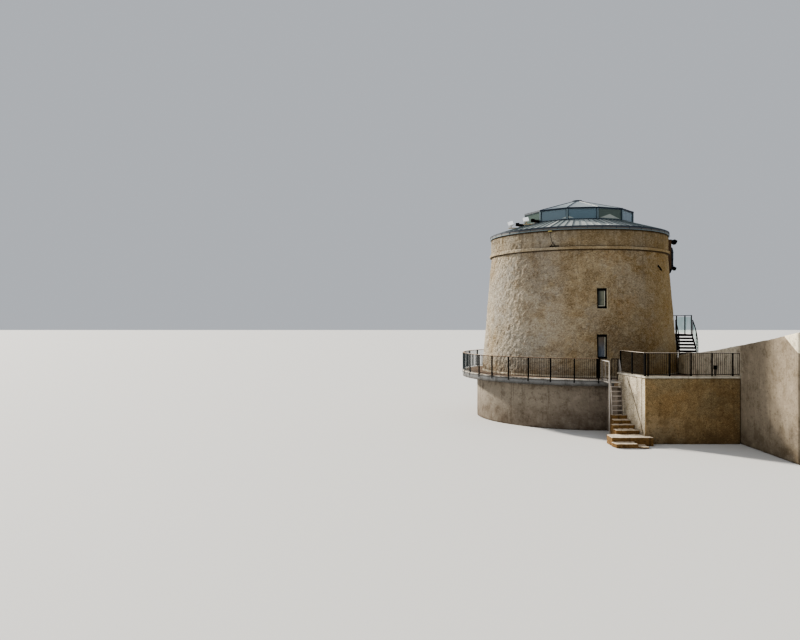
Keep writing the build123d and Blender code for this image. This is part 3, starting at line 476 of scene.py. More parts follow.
M = {}
M["render"] = render_material()
def corner_lichen(k, c):
    """Ochre growth along the wall's free corner, thinning away from it."""
    x, y, z = k.xyz()
    near = k.ramp(k.math("ADD", x, k.math("MULTIPLY", k.noise(5, 4), 0.03)), 0.655, 0.625)
    c = k.mix(k.math("MULTIPLY", k.ramp(k.noise(0.8, 5, 0.6, k.stretch(1, 1, 1, (4, 4, 4))), 0.44, 0.60), 0.42), c, srgb(126, 94, 54))
    c = k.mix(k.math("MULTIPLY", k.ramp(k.noise(0.7, 5, 0.6), 0.46, 0.60), 0.6), c, srgb(118, 108, 84))
    cast = k.noise(26, 3, 0.8, k.stretch(1, 1, 1.5))
    c = k.mix(k.math("MULTIPLY", k.ramp(cast, 0.52, 0.60), 0.55), c, srgb(176, 156, 118))
    c = k.mix(k.math("MULTIPLY", k.ramp(cast, 0.48, 0.40), 0.60), c, srgb(66, 50, 28))
    foot = k.math("MULTIPLY", k.ramp(x, 3.4, 0.9), k.ramp(z, 1.7, 0.7))
    c = k.mix(k.math("MULTIPLY", foot, 0.42), c, srgb(168, 152, 124))
    c = k.mix(k.math("MULTIPLY", k.ramp(x, 2.4, 4.4), 0.22), c, srgb(84, 66, 42))
    return k.mix(k.math("MULTIPLY", near, 0.7), c, srgb(150, 116, 44))


def side_cast(k, c):
    """Pebble-dash grain of the terrace's side wall."""
    cast = k.noise(26, 3, 0.8, k.stretch(1, 1, 1.5))
    c = k.mix(k.math("MULTIPLY", k.ramp(cast, 0.52, 0.60), 0.60), c, srgb(236, 228, 212))
    return k.mix(k.math("MULTIPLY", k.ramp(cast, 0.49, 0.42), 0.70), c, srgb(116, 100, 78))


def boundary_sunlight(k, c):
    """Painted sunlight on the wall's outer length beyond a slanting painted shadow edge of the tower; painted sunlight
    on its inner end behind the railing, warmer towards the drum.
    """
    x, y, z = k.xyz()
    # painted shadow edge: below the slanting line the wall keeps its shaded tone
    line = k.math("SUBTRACT", k.math("SUBTRACT", z, 5.30), k.math("MULTIPLY", k.math("ADD", y, 14.06), 0.648))
    # painted sunlight on the inner end behind the railing, warming towards the drum
    inner = k.math("MULTIPLY", k.math("MULTIPLY", k.ramp(x, 5.26, 5.22), k.ramp(z, 2.70, 2.80)), k.ramp(k.math("ADD", y, k.noise(1.2, 4)), -10.2, -9.4))
    c = k.mix(k.math("MULTIPLY", inner, 0.80), c, srgb(226, 216, 196))
    c = k.mix(k.math("MULTIPLY", k.ramp(y, -5.0, -3.0), 0.35), c, srgb(196, 176, 124))
    c = k.mix(k.ramp(z, 5.6, 5.9), c, srgb(200, 194, 178))
    return k.mix(k.ramp(line, -0.01, 0.02), c, srgb(226, 216, 192))


def under_slab(k, c):
    """Damp shadow of the slab on the top of the drum below it."""
    x, y, z = k.xyz()
    n = k.math("MULTIPLY", k.noise(1.8, 5, 0.65), 0.25)
    c = k.mix(k.math("MULTIPLY", k.ramp(k.math("ADD", z, n), 2.30, 2.58), 0.75), c, srgb(56, 44, 32))
    return k.mix(k.math("MULTIPLY", k.ramp(x, 1.0, -4.5), 0.35), c, srgb(160, 153, 138))


M["plinth"] = masonry("plinth_concrete", srgb(146, 136, 124), srgb(112, 102, 90), srgb(72, 58, 44), 0.8, 0.5, 0.5, 0.2, 2.0, 0.4, under_slab)
def deck_top(k, c):
    """Walked surface of the deck: warmer and paler than its edge; painted shadow in a dark band at the top of the edge,
    painted shade in a dark line along its lower edge, and painted sunlight in pale patches on the rim.
    """
    x, y, z = k.xyz()
    c = k.mix(k.math("MULTIPLY", k.math("MULTIPLY", k.ramp(z, 2.540, 2.600), k.ramp(z, 2.715, 2.680)), 0.45), c, srgb(134, 136, 138))
    # painted shadow of the railing's foot: a dark band at the top of the edge
    c = k.mix(k.math("MULTIPLY", k.math("MULTIPLY", k.ramp(z, 2.690, 2.725), k.ramp(z, 2.796, 2.785)), 0.55), c, srgb(60, 58, 56))
    # painted shade: a dark line along the lower edge of the slab
    c = k.mix(k.math("MULTIPLY", k.ramp(z, 2.520, 2.470), 0.70), c, srgb(58, 54, 50))
    c = k.mix(k.math("MULTIPLY", k.ramp(z, 2.790, 2.798), 0.85), c, srgb(160, 138, 118))
    # painted sunlight: pale patches along the deck's rim, except at the stair join
    r = k.math("SQRT", k.math("ADD", k.math("MULTIPLY", x, x), k.math("MULTIPLY", y, y)))
    rim = k.math("MULTIPLY", k.math("MULTIPLY", k.ramp(r, 6.84, 6.92), k.ramp(z, 2.74, 2.79)), k.ramp(k.noise(1.3, 5, 0.7), 0.40, 0.52))
    join = k.math("MULTIPLY", k.ramp(x, 0.20, 0.30), k.ramp(y, -3.5, -3.6))
    rim = k.math("MULTIPLY", rim, k.math("SUBTRACT", 1.0, join))
    return k.mix(k.math("MULTIPLY", rim, 0.75), c, srgb(226, 220, 210))


M["slab"] = masonry("slab_concrete", srgb(108, 107, 105), srgb(84, 83, 81), srgb(54, 50, 44), 1.0, 0.45, 0.35, after=deck_top)
M["floor"] = masonry("paving_concrete", srgb(164, 144, 120), srgb(136, 116, 94), srgb(92, 76, 56), 1.4, 0.2, 0.4)
M["brown"] = masonry("terrace_render", srgb(146, 124, 90), srgb(116, 96, 66), srgb(78, 60, 36), 0.9, 0.35, 0.8, 0.0, 1.2, 0.6, corner_lichen)
# paler cream copy of the terrace render for the left-facing faces: partly the side wall's own render, partly painted
# sunlight
M["cream"] = masonry("side_render_sunlit", srgb(200, 190, 170), srgb(170, 158, 136), srgb(108, 92, 68), 1.0, 0.10, 0.8, 0.0, 1.2, 0.42, side_cast)
M["coping"] = masonry("coping_concrete", srgb(196, 190, 176), srgb(168, 160, 144), srgb(112, 98, 78), 1.6, 0.3, 0.35)
M["grey"] = masonry("boundary_render", srgb(149, 138, 122), srgb(121, 110, 94), srgb(84, 72, 54), 0.7, 0.30, 0.6, 0.0, 1.6, 0.45, boundary_sunlight)
# step stone in a shaded brown copy for the fronts and a pale sunlit copy for the tops: painted shade and painted
# sunlight
M["step"] = masonry("step_stone", srgb(128, 100, 62), srgb(92, 68, 38), srgb(52, 36, 18), 2.4, 0.45, 0.9, speckle=0.6)
M["step_top"] = masonry("step_tread_sunlit", srgb(222, 210, 192), srgb(190, 174, 150), srgb(126, 104, 76), 2.4, 0.1, 0.6, speckle=0.4)
M["dark_stone"] = masonry("machicolation_stone", srgb(96, 74, 54), srgb(66, 50, 38), srgb(30, 24, 20), 2.0, 0.6, 0.6)
M["black"] = paint("black_paint", (0.0022, 0.0020, 0.0018), (0.006, 0.005, 0.0042), 0.75, 0.0, 4.0, 0.10, 0.06)
M["dark_metal"] = paint("blue_grey_paint", srgb(40, 52, 64), srgb(58, 68, 78), 0.5, 0.0, 2.0, 0.1, 0.3)
M["navy"] = paint("navy_paint", srgb(16, 30, 46), srgb(26, 42, 58), 0.5, 0.0, 3.0, 0.0, 0.25)
M["pale_metal"] = paint("pale_frame", srgb(120, 138, 144), srgb(98, 116, 124), 0.4, 0.1, 2.0)
M["galv"] = paint("galvanised_steel", srgb(190, 186, 180), srgb(138, 132, 126), 0.45, 0.30, 18.0)
M["galv_step"] = tread_steel()
M["copper"] = paint("handrail_brown", srgb(206, 176, 148), srgb(170, 140, 112), 0.4, 0.0, 6.0)
M["rail_pale"] = paint("handrail_pale", srgb(226, 216, 204), srgb(196, 184, 170), 0.4, 0.0, 6.0)
M["rim"] = masonry("window_rim", srgb(186, 174, 150), srgb(164, 150, 126), srgb(104, 90, 66), 3.0, 0.1, 0.4, speckle=0.3)
M["bead"] = paint("glazing_bead", srgb(214, 212, 196), srgb(186, 184, 168), 0.5, 0.0, 5.0)
M["lamp"] = paint("lamp_enamel", srgb(222, 222, 220), srgb(200, 200, 198), 0.35, 0.0, 3.0)
M["amber"] = paint("lamp_amber", srgb(196, 182, 112), srgb(170, 150, 84), 0.35, 0.0, 8.0)
M["beige"] = paint("bracket_beige", srgb(176, 160, 128), srgb(142, 126, 96), 0.5, 0.0, 8.0)
M["gutter"] = gutter_paint()
M["guard"] = guard_steel()
M["lens"] = lens_paint()
M["black_paint_sunlit"] = black_paint_sunlit()
M["zinc"] = zinc("zinc_sheet", srgb(204, 208, 204), srgb(150, 160, 160), 84)
M["zinc_roof"] = zinc("zinc_facets", srgb(180, 190, 193), srgb(148, 161, 168), 0)
M["seam"] = paint("zinc_seam", srgb(114, 124, 126), srgb(84, 94, 98), 0.45, 0.3, 5.0)
M["glass"] = lantern_glass()
M["pane"] = window_glass()
M["stair_glass"] = clear_glass()
M["door"] = paint("door_boards", srgb(58, 50, 42), srgb(40, 34, 28), 0.6, 0.0, 6.0)

NODE_MAT = {
    "plinth": "plinth", "deck_slab": "slab", "ground_floor": "floor", "first_floor": "floor", "gun_platform": "floor",
    "string_course": "render", "parapet_wall": "render", "gutter": "gutter", "roof_skirt": "zinc",
    "lantern_sill": "dark_metal", "lantern_posts": "dark_metal", "lantern_glass": "glass", "lantern_eave": "dark_metal",
    "lantern_roof": "zinc_roof", "roof_cap": "dark_metal", "window_frames": "black", "window_panes": "pane",
    "door_frame": "black", "entrance_door": "door", "machicolation_wall": "dark_stone", "machicolation_corbels": "dark_stone",
    "machicolation_lamps": "black", "stair_treads": "black", "stair_stringers": "black", "stair_landing": "black",
    "stair_columns": "black", "stair_guard": "black", "landing_guard": "black", "stair_glass": "stair_glass",
    "gate_platform": "galv", "platform_guard": "guard", "right_handrail": "galv", "steel_steps": "galv_step",
    "concrete_steps": "step", "lower_landing": "step", "terrace_fill": "plinth", "terrace_slab": "floor",
    "front_wall": "brown", "left_wall": "cream", "front_coping": "coping", "left_coping": "coping", "boundary_wall": "grey",
    "floodlights": "lamp", "deck_railing_left": "black_paint_sunlit", "deck_railing_back_left": "black_paint_sunlit",
}
for name, ob in NODES.items():
    key = NODE_MAT.get(name) or ("render" if name.startswith("wall_") else "black")
    me = ob.data
    if not len(me.materials):
        me.materials.append(M[key])
    for i in range(len(me.materials)):
        ob.material_slots[i].material = M[key]


# ------------------------------------------------------------------ mesh kit
class Build:
    """Collects verts and faces for one joined piece."""

    def __init__(self):
        self.v, self.f, self.mi = [], [], []

    def hexa(self, pts, mi=0):
        n = len(self.v)
        self.v += [tuple(p) for p in pts]
        for q in ((0, 3, 2, 1), (4, 5, 6, 7), (0, 1, 5, 4), (1, 2, 6, 5), (2, 3, 7, 6), (3, 0, 4, 7)):
            self.f.append(tuple(n + i for i in q))
            self.mi.append(mi)

    def box(self, c, size, rot=None, mi=0):
        c = Vector(c)
        rot = rot or Matrix.Identity(3)
        h = [s / 2 for s in size]
        pts = []
        for dz in (-1, 1):
            for dx, dy in ((-1, -1), (1, -1), (1, 1), (-1, 1)):
                pts.append(c + rot @ Vector((dx * h[0], dy * h[1], dz * h[2])))
        self.hexa(pts, mi)

    def tube(self, path, r, sides=8, mi=0, cap=True):
        path = [Vector(p) for p in path]
        rings = []
        for i, p in enumerate(path):
            a = path[max(0, i - 1)]
            b = path[min(len(path) - 1, i + 1)]
            t = (b - a).normalized()
            u = t.cross(Vector((0, 0, 1)))
            if u.length < 1e-4:
                u = t.cross(Vector((0, 1, 0)))
            u.normalize()
            w = t.cross(u)
            n = len(self.v)
            for k in range(sides):
                q = 2 * math.pi * k / sides
                self.v.append(tuple(p + u * (r * math.cos(q)) + w * (r * math.sin(q))))
            rings.append(n)
        for a, b in zip(rings, rings[1:]):
            for k in range(sides):
                k2 = (k + 1) % sides
                self.f.append((a + k, a + k2, b + k2, b + k))
                self.mi.append(mi)
        if cap:
            self.f.append(tuple(rings[0] + k for k in reversed(range(sides))))
            self.mi.append(mi)
            self.f.append(tuple(rings[-1] + k for k in range(sides)))
            self.mi.append(mi)

    def obj(self, name, mats, body=ROOT, slot=None, bevel=0.0, smooth=False, replaces=()):
        me = bpy.data.meshes.new(name)
        me.from_pydata(self.v, [], self.f)
        for m in mats:
            me.materials.append(m)
        for p, i in zip(me.polygons, self.mi):
            p.material_index = i
            p.use_smooth = smooth
        me.validate()
        me.update()
        ob = bpy.data.objects.new(name, me)
        scene.collection.objects.link(ob)
        if bevel:
            b = ob.modifiers.new("bevel", "BEVEL")
            b.width = bevel
            b.segments = 2
            b.limit_method = "ANGLE"
        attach(ob, body)
        if replaces:
            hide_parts(*replaces)
        return ob


def fbm(x, y, z, s, octaves=3):
    v, a, t = 0.0, 1.0, 0.0
    for _ in range(octaves):
        v += a * noise.noise(Vector((x * s, y * s, z * s)))
        t += a
        a *= 0.5
        s *= 2.03
    return v / t


# ------------------------------------------------------------------ rough render on the drum
def tower_skin(half):
    """The render coat: the drum's own outer profile with the lumps and hollows of hand-thrown render."""
    n = 384
    a0 = -180.0 if half == 0 else 0.0
    cols = [["a", a0 + 180 * i / n] for i in range(n + 1)]
    # move the nearest column on to each edge of an opening
    marks = []
    for wa in ((WIN_A,) if half == 0 else (WIN_A + 180,)):
        for w, da in ((LOW_WIN[0] / 2, 0.0), (TOP_WIN[0] / 2, TOP_DA)):
            marks += [(wa + da, -w), (wa + da, w)]
    marks += [(DOOR_A, -0.475), (DOOR_A, 0.475)]
    for wa, off in marks:
        a = wa + math.degrees(math.asin(off / 5.6))
        if not a0 + 0.5 < a < a0 + 179.5:
            continue
        best = min((i for i in range(1, n) if cols[i][0] == "a"), key=lambda i: abs(cols[i][1] - a))
        cols[best] = ["w", wa, off, a]

    def col_angle(c, z):
        if c[0] == "a":
            return c[1]
        return c[1] + math.degrees(math.asin(c[2] / r_wall(min(z, Z_BAND0))))

    cols.sort(key=lambda c: c[1] if c[0] == "a" else c[3])
    prof = [(R0 - 0.05, Z_DECK + 0.001)]
    zs = list(np.linspace(Z_DECK + 0.001, Z_BAND0 - 0.001, 150))
    for z in (LOW_WIN[1], LOW_WIN[2], TOP_WIN[1], TOP_WIN[2], 5.073, 7.123):
        i = min(range(1, len(zs) - 1), key=lambda i: abs(zs[i] - z))
        zs[i] = z
    prof += [(r_wall(z), z) for z in zs]
    prof += [(R_BAND - 0.006, Z_BAND0 - 0.001), (R_BAND, Z_BAND0 + 0.012)]
    prof += [(R_BAND, z) for z in np.linspace(Z_BAND0 + 0.05, Z_BAND1 - 0.02, 3)]
    prof += [(R_BAND - 0.012, Z_BAND1 + 0.004), (R_PAR, Z_BAND1 + 0.03)]
    prof += [(R_PAR, z) for z in np.linspace(Z_BAND1 + 0.07, Z_PAR - 0.002, 20)]
    prof += [(R_PAR - 0.05, Z_PAR - 0.002)]
    rows, nc = len(prof), len(cols)
    verts, faces = [], []
    for j, (r, z) in enumerate(prof):
        edge = j == 0 or j == rows - 1
        for c in cols:
            a = math.radians(col_angle(c, z))
            x, y = math.cos(a), math.sin(a)
            h = 0.0
            if not edge:
                px, py = x * 5.6, y * 5.6
                left = 0.5 + 0.5 * math.cos(a - math.radians(215))
                rough = (0.5 + 0.8 * max(0.0, fbm(px + 7, py, z, 0.33, 2) + 0.3)) * (0.70 + 0.45 * left)
                h = 0.018 * fbm(px, py, z * 1.2, 0.55, 2)
                h += rough * 0.016 * fbm(px, py + 3, z * 1.15, 2.1, 2)
                h += rough * 0.034 * fbm(px + 5, py + z * 0.4, z * 1.1, 4.6, 2)
                # slanting strokes of the trowel, leaning the same way all round
                tx, ty = 5.6 * math.cos(a - 0.11 * z), 5.6 * math.sin(a - 0.11 * z)
                h += rough * 0.050 * (0.25 - abs(noise.noise(Vector((tx * 4.6, ty * 4.6 + 3, z * 2.4)))))
                h += rough * 0.054 * (0.25 - abs(noise.noise(Vector((tx * 8.4 + 2, ty * 8.4, z * 4.4)))))
                h = max(-0.004, h + 0.018)
            rr = r + h
            verts.append((x * rr, y * rr, z))
    holes = [(WIN_A, LOW_WIN), (WIN_A + TOP_DA, TOP_WIN), (WIN_A + 180, LOW_WIN), (WIN_A + 180 + TOP_DA, TOP_WIN), (DOOR_A, (0.95, 5.073, 7.123))]
    for j in range(rows - 1):
        zm = (prof[j][1] + prof[j + 1][1]) / 2
        for i in range(nc - 1):
            drop = False
            if zm < Z_BAND0:
                am = math.radians((col_angle(cols[i], zm) + col_angle(cols[i + 1], zm)) / 2)
                for wa, (w, za, zb) in holes:
                    d = am - math.radians(wa)
                    if za < zm < zb and math.cos(d) > 0 and abs(math.sin(d) * r_wall(zm)) < w / 2:
                        drop = True
            if not drop:
                faces.append((j * nc + i, j * nc + i + 1, (j + 1) * nc + i + 1, (j + 1) * nc + i))
    # turn the edges of the openings into the wall
    edges = {}
    for f in faces:
        for a, b in zip(f, f[1:] + f[:1]):
            edges.setdefault((min(a, b), max(a, b)), []).append((a, b))
    new, rim = {}, []
    for e, us in edges.items():
        if len(us) != 1 or e[0] < nc or e[1] >= (rows - 1) * nc:
            continue
        if (e[0] % nc in (0, nc - 1)) and e[0] % nc == e[1] % nc:
            continue
        a, b = us[0]
        for v in (a, b):
            if v not in new:
                p = Vector(verts[v])
                rr = math.hypot(p.x, p.y)
                k = (rr - 0.07) / rr
                new[v] = len(verts)
                verts.append((p.x * k, p.y * k, p.z))
        rim.append((b, a, new[a], new[b]))
    faces += rim
    b = Build()
    b.v, b.f, b.mi = verts, faces, [0] * len(faces)
    return b.obj("render_coat_%s" % ("front", "back")[half], [M["render"]], slot="render", smooth=True)


tower_skin(0)
tower_skin(1)


def window_margins():
    """Slim smooth rim of render round the windows and the pale beads that hold the glass."""
    b = Build()
    for side in (WIN_A, WIN_A + 180):
        for wa, (w, z0, z1) in ((side, LOW_WIN), (side + TOP_DA, TOP_WIN)):
            t = math.atan((R0 - R1) / (Z_BAND0 - Z_DECK))
            rot = Matrix.Rotation(math.radians(wa), 3, "Z") @ Matrix.Rotation(-t, 3, "Y")
            zc = (z0 + z1) / 2
            mid = pol(r_wall(zc) + 0.010, wa, zc)
            bw = 0.045
            up = z0 > 6
            for dy, dz, sy, sz, mi in ((-(w + bw) / 2, 0, bw, z1 - z0 + 2 * bw, 0), ((w + bw) / 2, 0, bw, z1 - z0 + 2 * bw, 3 if up else 0),
                                       (0, (z1 - z0 + bw) / 2, w, bw, 1), (0, -(z1 - z0 + bw) / 2, w, bw, 1 if up else 0)):
                off = rot @ Vector((0, dy, dz))
                b.box(mid + off, (0.06, sy, sz), rot, mi)
            if up:
                b.box(mid + rot @ Vector((0, 0, -(z1 - z0) / 2 - bw - 0.020)), (0.06, w + 2 * bw, 0.040), rot, 3)
            # sloped sill under the frame
            b.box(pol(r_wall(z0) - 0.03, wa, z0 + 0.006), (0.15, w, 0.012), Matrix.Rotation(math.radians(wa), 3, "Z") @ Matrix.Rotation(math.radians(6), 3, "Y"), 1)
            r = r_wall(z1) - 0.075 + 0.052
            rz = Matrix.Rotation(math.radians(wa), 3, "Z")
            w2, h2 = w - 0.130, z1 - z0 - 0.130
            for dy, dz, sy, sz in ((-(w2 / 2 - 0.014), 0, 0.028, h2), (w2 / 2 - 0.010, 0, 0.020, h2),
                                   (0, h2 / 2 - 0.014, w2 - 0.048, 0.028), (0, -(h2 / 2 - 0.014), w2 - 0.048, 0.028)):
                b.box(pol(r, wa, zc) + rz @ Vector((0, dy, dz)), (0.030, sy, sz), rz, 1)
            b.box(pol(r - 0.004, wa, zc) + rz @ Vector((0, w2 / 2 - 0.035, 0)), (0.018, 0.030, h2 - 0.056), rz, 2)
            if z0 > 6:
                b.box(pol(r - 0.004, wa, zc) + rz @ Vector((-0.0, -0.012, -(h2 / 2 - 0.042))), (0.018, w2 - 0.080, 0.028), rz, 2)
            # black leaf on the face of the frame, a little wider than the bars
            rf = r_wall(z1) - 0.008
            for dy, dz, sy, sz in ((-(w / 2 - 0.040), 0, 0.080, z1 - z0), ((w / 2 - 0.036), 0, 0.072, z1 - z0),
                                   (0, (z1 - z0) / 2 - 0.038, w - 0.152, 0.076), (0, -((z1 - z0) / 2 - 0.036), w - 0.152, 0.072)):
                b.box(pol(rf - 0.004, wa, zc) + rz @ Vector((0, dy, dz)), (0.020, sy, sz), rz, 1)
    return b.obj("window_margins", [M["render"], M["black"], M["bead"], M["rim"]], slot="render", bevel=0.006)


window_margins()


# ------------------------------------------------------------------ rough skin on the plinth drum
def ring_skin(name, r, z0, z1, n, rows, amp, mat, slot):
    b = Build()
    verts, faces = [], []
    zs = [z0] + list(np.linspace(z0, z1, rows)) + [z1]
    for j, z in enumerate(zs):
        edge = j in (0, len(zs) - 1)
        for i in range(n):
            a = 2 * math.pi * i / n
            x, y = math.cos(a), math.sin(a)
            h = -0.05 if edge else amp * (0.9 + fbm(x * r, y * r, z, 0.8, 2) + 0.6 * fbm(x * r, y * r, z, 3.5, 2))
            if not edge:
                h = max(h, 0.001)
            verts.append((x * (r + h), y * (r + h), z))
    for j in range(len(zs) - 1):
        for i in range(n):
            i2 = (i + 1) % n
            faces.append((j * n + i, j * n + i2, (j + 1) * n + i2, (j + 1) * n + i))
    b.v, b.f, b.mi = verts, faces, [0] * len(faces)
    return b.obj(name, [mat], slot=slot, smooth=True)


ring_skin("plinth_render", R_PLINTH, 0.001, Z_SLAB0 - 0.001, 420, 28, 0.008, M["plinth"], "concrete")


# ------------------------------------------------------------------ weathered masonry blocks
def weathered(node, voxel, amp, scale, mat, name, mats=None, pick=None):
    """A copy of a masonry node with soft arrises and an uneven face; it stands for the node."""
    src = NODES[node]
    me = src.data.copy()
    me.name = name
    ob = bpy.data.objects.new(name, me)
    scene.collection.objects.link(ob)
    mod = ob.modifiers.new("voxel", "REMESH")
    mod.mode = "VOXEL"
    mod.voxel_size = voxel
    mod.adaptivity = 0.0
    dg = bpy.context.evaluated_depsgraph_get()
    out = bpy.data.meshes.new_from_object(ob.evaluated_get(dg))
    ob.modifiers.clear()
    ob.data = out
    out.name = name
    lo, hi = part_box(node)
    nrm = [v.normal.copy() for v in out.vertices]
    for v, nn in zip(out.vertices, nrm):
        p = v.co
        h = amp * (fbm(p.x, p.y, p.z, scale, 3) * 1.6 - 0.55)
        q = p + nn * h
        v.co = Vector([min(max(q[i], lo[i]), hi[i]) for i in range(3)])
    out.materials.clear()
    for m in (mats or [mat]):
        out.materials.append(m)
    for p in out.polygons:
        p.use_smooth = True
        p.material_index = pick(p) if pick else 0
    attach(ob, ROOT)
    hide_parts(node)
    return ob


# faces turned upward take the pale tread copy: painted sunlight on the tops
top_face = lambda p: 1 if p.normal.z > 0.62 else 0
weathered("concrete_steps", 0.022, 0.012, 4.5, M["step"], "worn_steps", [M["step"], M["step_top"]], top_face)
weathered("lower_landing", 0.026, 0.014, 4.0, M["step"], "worn_landing", [M["step"], M["step_top"]], top_face)
# the front wall's left-facing faces take the cream render: partly painted sunlight on the sunlit side
weathered("front_wall", 0.05, 0.010, 2.2, M["brown"], "front_wall_render", [M["brown"], M["cream"]],
          lambda p: 1 if p.normal.x < -0.6 and p.center.x < 1.0 else 0)
weathered("left_wall", 0.05, 0.010, 2.2, M["cream"], "left_wall_render")
weathered("front_coping", 0.025, 0.005, 3.0, M["coping"], "front_coping_worn")
weathered("left_coping", 0.025, 0.005, 3.0, M["coping"], "left_coping_worn")
weathered("boundary_wall", 0.06, 0.014, 1.6, M["grey"], "boundary_wall_render")


# ------------------------------------------------------------------ roof
def cone_z(r):
    return Z_SK - (Z_SK - 11.160) * (r - R_SK) / (R_GUT - R_SK)


def roof_seams():
    b = Build()
    n = 84
    for i in range(n):
        a = 360 * i / n
        d = pol(1, a)
        t = Vector((-d.y, d.x, 0))
        pts = []
        for r, zr in ((5.395, cone_z(5.395)), (3.375, cone_z(3.375))):
            base = d * r + Vector((0, 0, zr - 0.006))
            pts.append((base - t * 0.012, base + t * 0.012, base + t * 0.010 + Vector((0, 0, 0.042)), base - t * 0.010 + Vector((0, 0, 0.042))))
        (p0, p1, p2, p3), (q0, q1, q2, q3) = pts
        b.hexa((p0, p1, q1, q0, p3, p2, q2, q3))
    return b.obj("roof_seams", [M["seam"]], slot="zinc")


def roof_apron():
    """Sheet that carries the skirt out over the gutter."""
    b = Build()
    n = 168
    for r0, r1, dz0, dz1, mi in ((5.245, 5.398, 0.004, 0.0, 0),):
        for i in range(n):
            a0, a1 = 360 * i / n, 360 * (i + 1) / n
            z0, z1 = cone_z(r0) + dz0, cone_z(r1) + dz1
            b.hexa((pol(r0, a0, z0 - 0.004), pol(r1, a0, z1 - 0.004), pol(r1, a1, z1 - 0.004), pol(r0, a1, z0 - 0.004),
                    pol(r0, a0, z0), pol(r1, a0, z1), pol(r1, a1, z1), pol(r0, a1, z0)), mi)
    return b.obj("roof_apron", [M["zinc"]], slot="zinc")


def gutter_trim():
    """Pale drip strip under the gutter and its brackets."""
    b = Build()
    n = 168
    for i in range(n):
        a0, a1 = 360 * i / n, 360 * (i + 1) / n
        for r0, r1, z0, z1, mi in ((5.30, 5.412, 10.985, 11.012, 0), (5.40, 5.416, 11.150, 11.182, 1)):
            b.hexa((pol(r0, a0, z0), pol(r1, a0, z0), pol(r1, a1, z0), pol(r0, a1, z0),
                    pol(r0, a0, z1), pol(r1, a0, z1), pol(r1, a1, z1), pol(r0, a1, z1)), mi)
    for i in range(42):
        a = 360 * (i + 0.5) / 42
        rot = Matrix.Rotation(math.radians(a), 3, "Z")
        b.box(pol(5.408, a, 11.08), (0.02, 0.03, 0.15), rot, 1)
    return b.obj("gutter_trim", [M["pale_metal"], M["dark_metal"]], slot="dark_metal")


def lantern_trim():
    b = Build()
    # hips of the pyramid roof
    for i in range(12):
        a = A_LAN + 30 * i
        d = pol(1, a)
        t = Vector((-d.y, d.x, 0))
        z0, z1 = Z_EAVE, Z_CAP - 0.08
        p = d * (R_LAN + 0.03) + Vector((0, 0, z0 - 0.004))
        q = d * 0.31 + Vector((0, 0, z1 - 0.004))
        up = Vector((0, 0, 0.034))
        b.hexa((p - t * 0.022, p + t * 0.022, q + t * 0.018, q - t * 0.018,
                p - t * 0.012 + up, p + t * 0.012 + up, q + t * 0.010 + up, q - t * 0.010 + up))
    # eave fascia and sill nosing on each side of the twelve, both navy; the navy of the sill nosing is painted shade at
    # the foot of the glass
    for z, h, dr, mi in ((12.490, 0.085, 0.040, 2), (11.825, 0.075, 0.016, 2)):
        for i in range(12):
            a = A_LAN + 30 * i
            p, q = pol(R_LAN + dr, a, z), pol(R_LAN + dr, a + 30, z)
            pi_, qi = pol(R_LAN + dr - 0.04, a, z), pol(R_LAN + dr - 0.04, a + 30, z)
            up = Vector((0, 0, h / 2))
            b.hexa((p - up, q - up, qi - up, pi_ - up, p + up, q + up, qi + up, pi_ + up), mi)
    # slim glazing beads inside each pane's edges
    for i in range(12):
        a = A_LAN + 30 * i + 15
        rot = Matrix.Rotation(math.radians(a), 3, "Z")
        flat = (R_LAN - 0.042) * math.cos(math.radians(15))
        wide = 2 * (R_LAN - 0.042) * math.sin(math.radians(15)) - 0.084
        for sgn in (-1, 1):
            b.box(pol(flat + 0.018, a, 12.155) + rot @ Vector((0, sgn * (wide / 2 - 0.012), 0)), (0.02, 0.024, 0.61), rot, 1)
        b.box(pol(flat + 0.018, a, 11.868), (0.02, wide, 0.034), rot, 1)
        b.box(pol(flat + 0.018, a, 12.444), (0.02, wide, 0.034), rot, 1)
    # cover strips outside the corner posts: pale with dark edges
    for i in range(12):
        a = A_LAN + 30 * i
        rot = Matrix.Rotation(math.radians(a), 3, "Z")
        b.box(pol(R_LAN + 0.014, a, 12.155), (0.03, 0.074, 0.63), rot, 1)
        for sgn in (-1, 1):
            b.box(pol(R_LAN - 0.004, a, 12.155) + rot @ Vector((0, sgn * 0.052, 0)), (0.02, 0.036, 0.61), rot, 2)
    return b.obj("lantern_trim", [M["dark_metal"], M["pale_metal"], M["navy"]], slot="dark_metal")


roof_seams()
roof_apron()
gutter_trim()
lantern_trim()


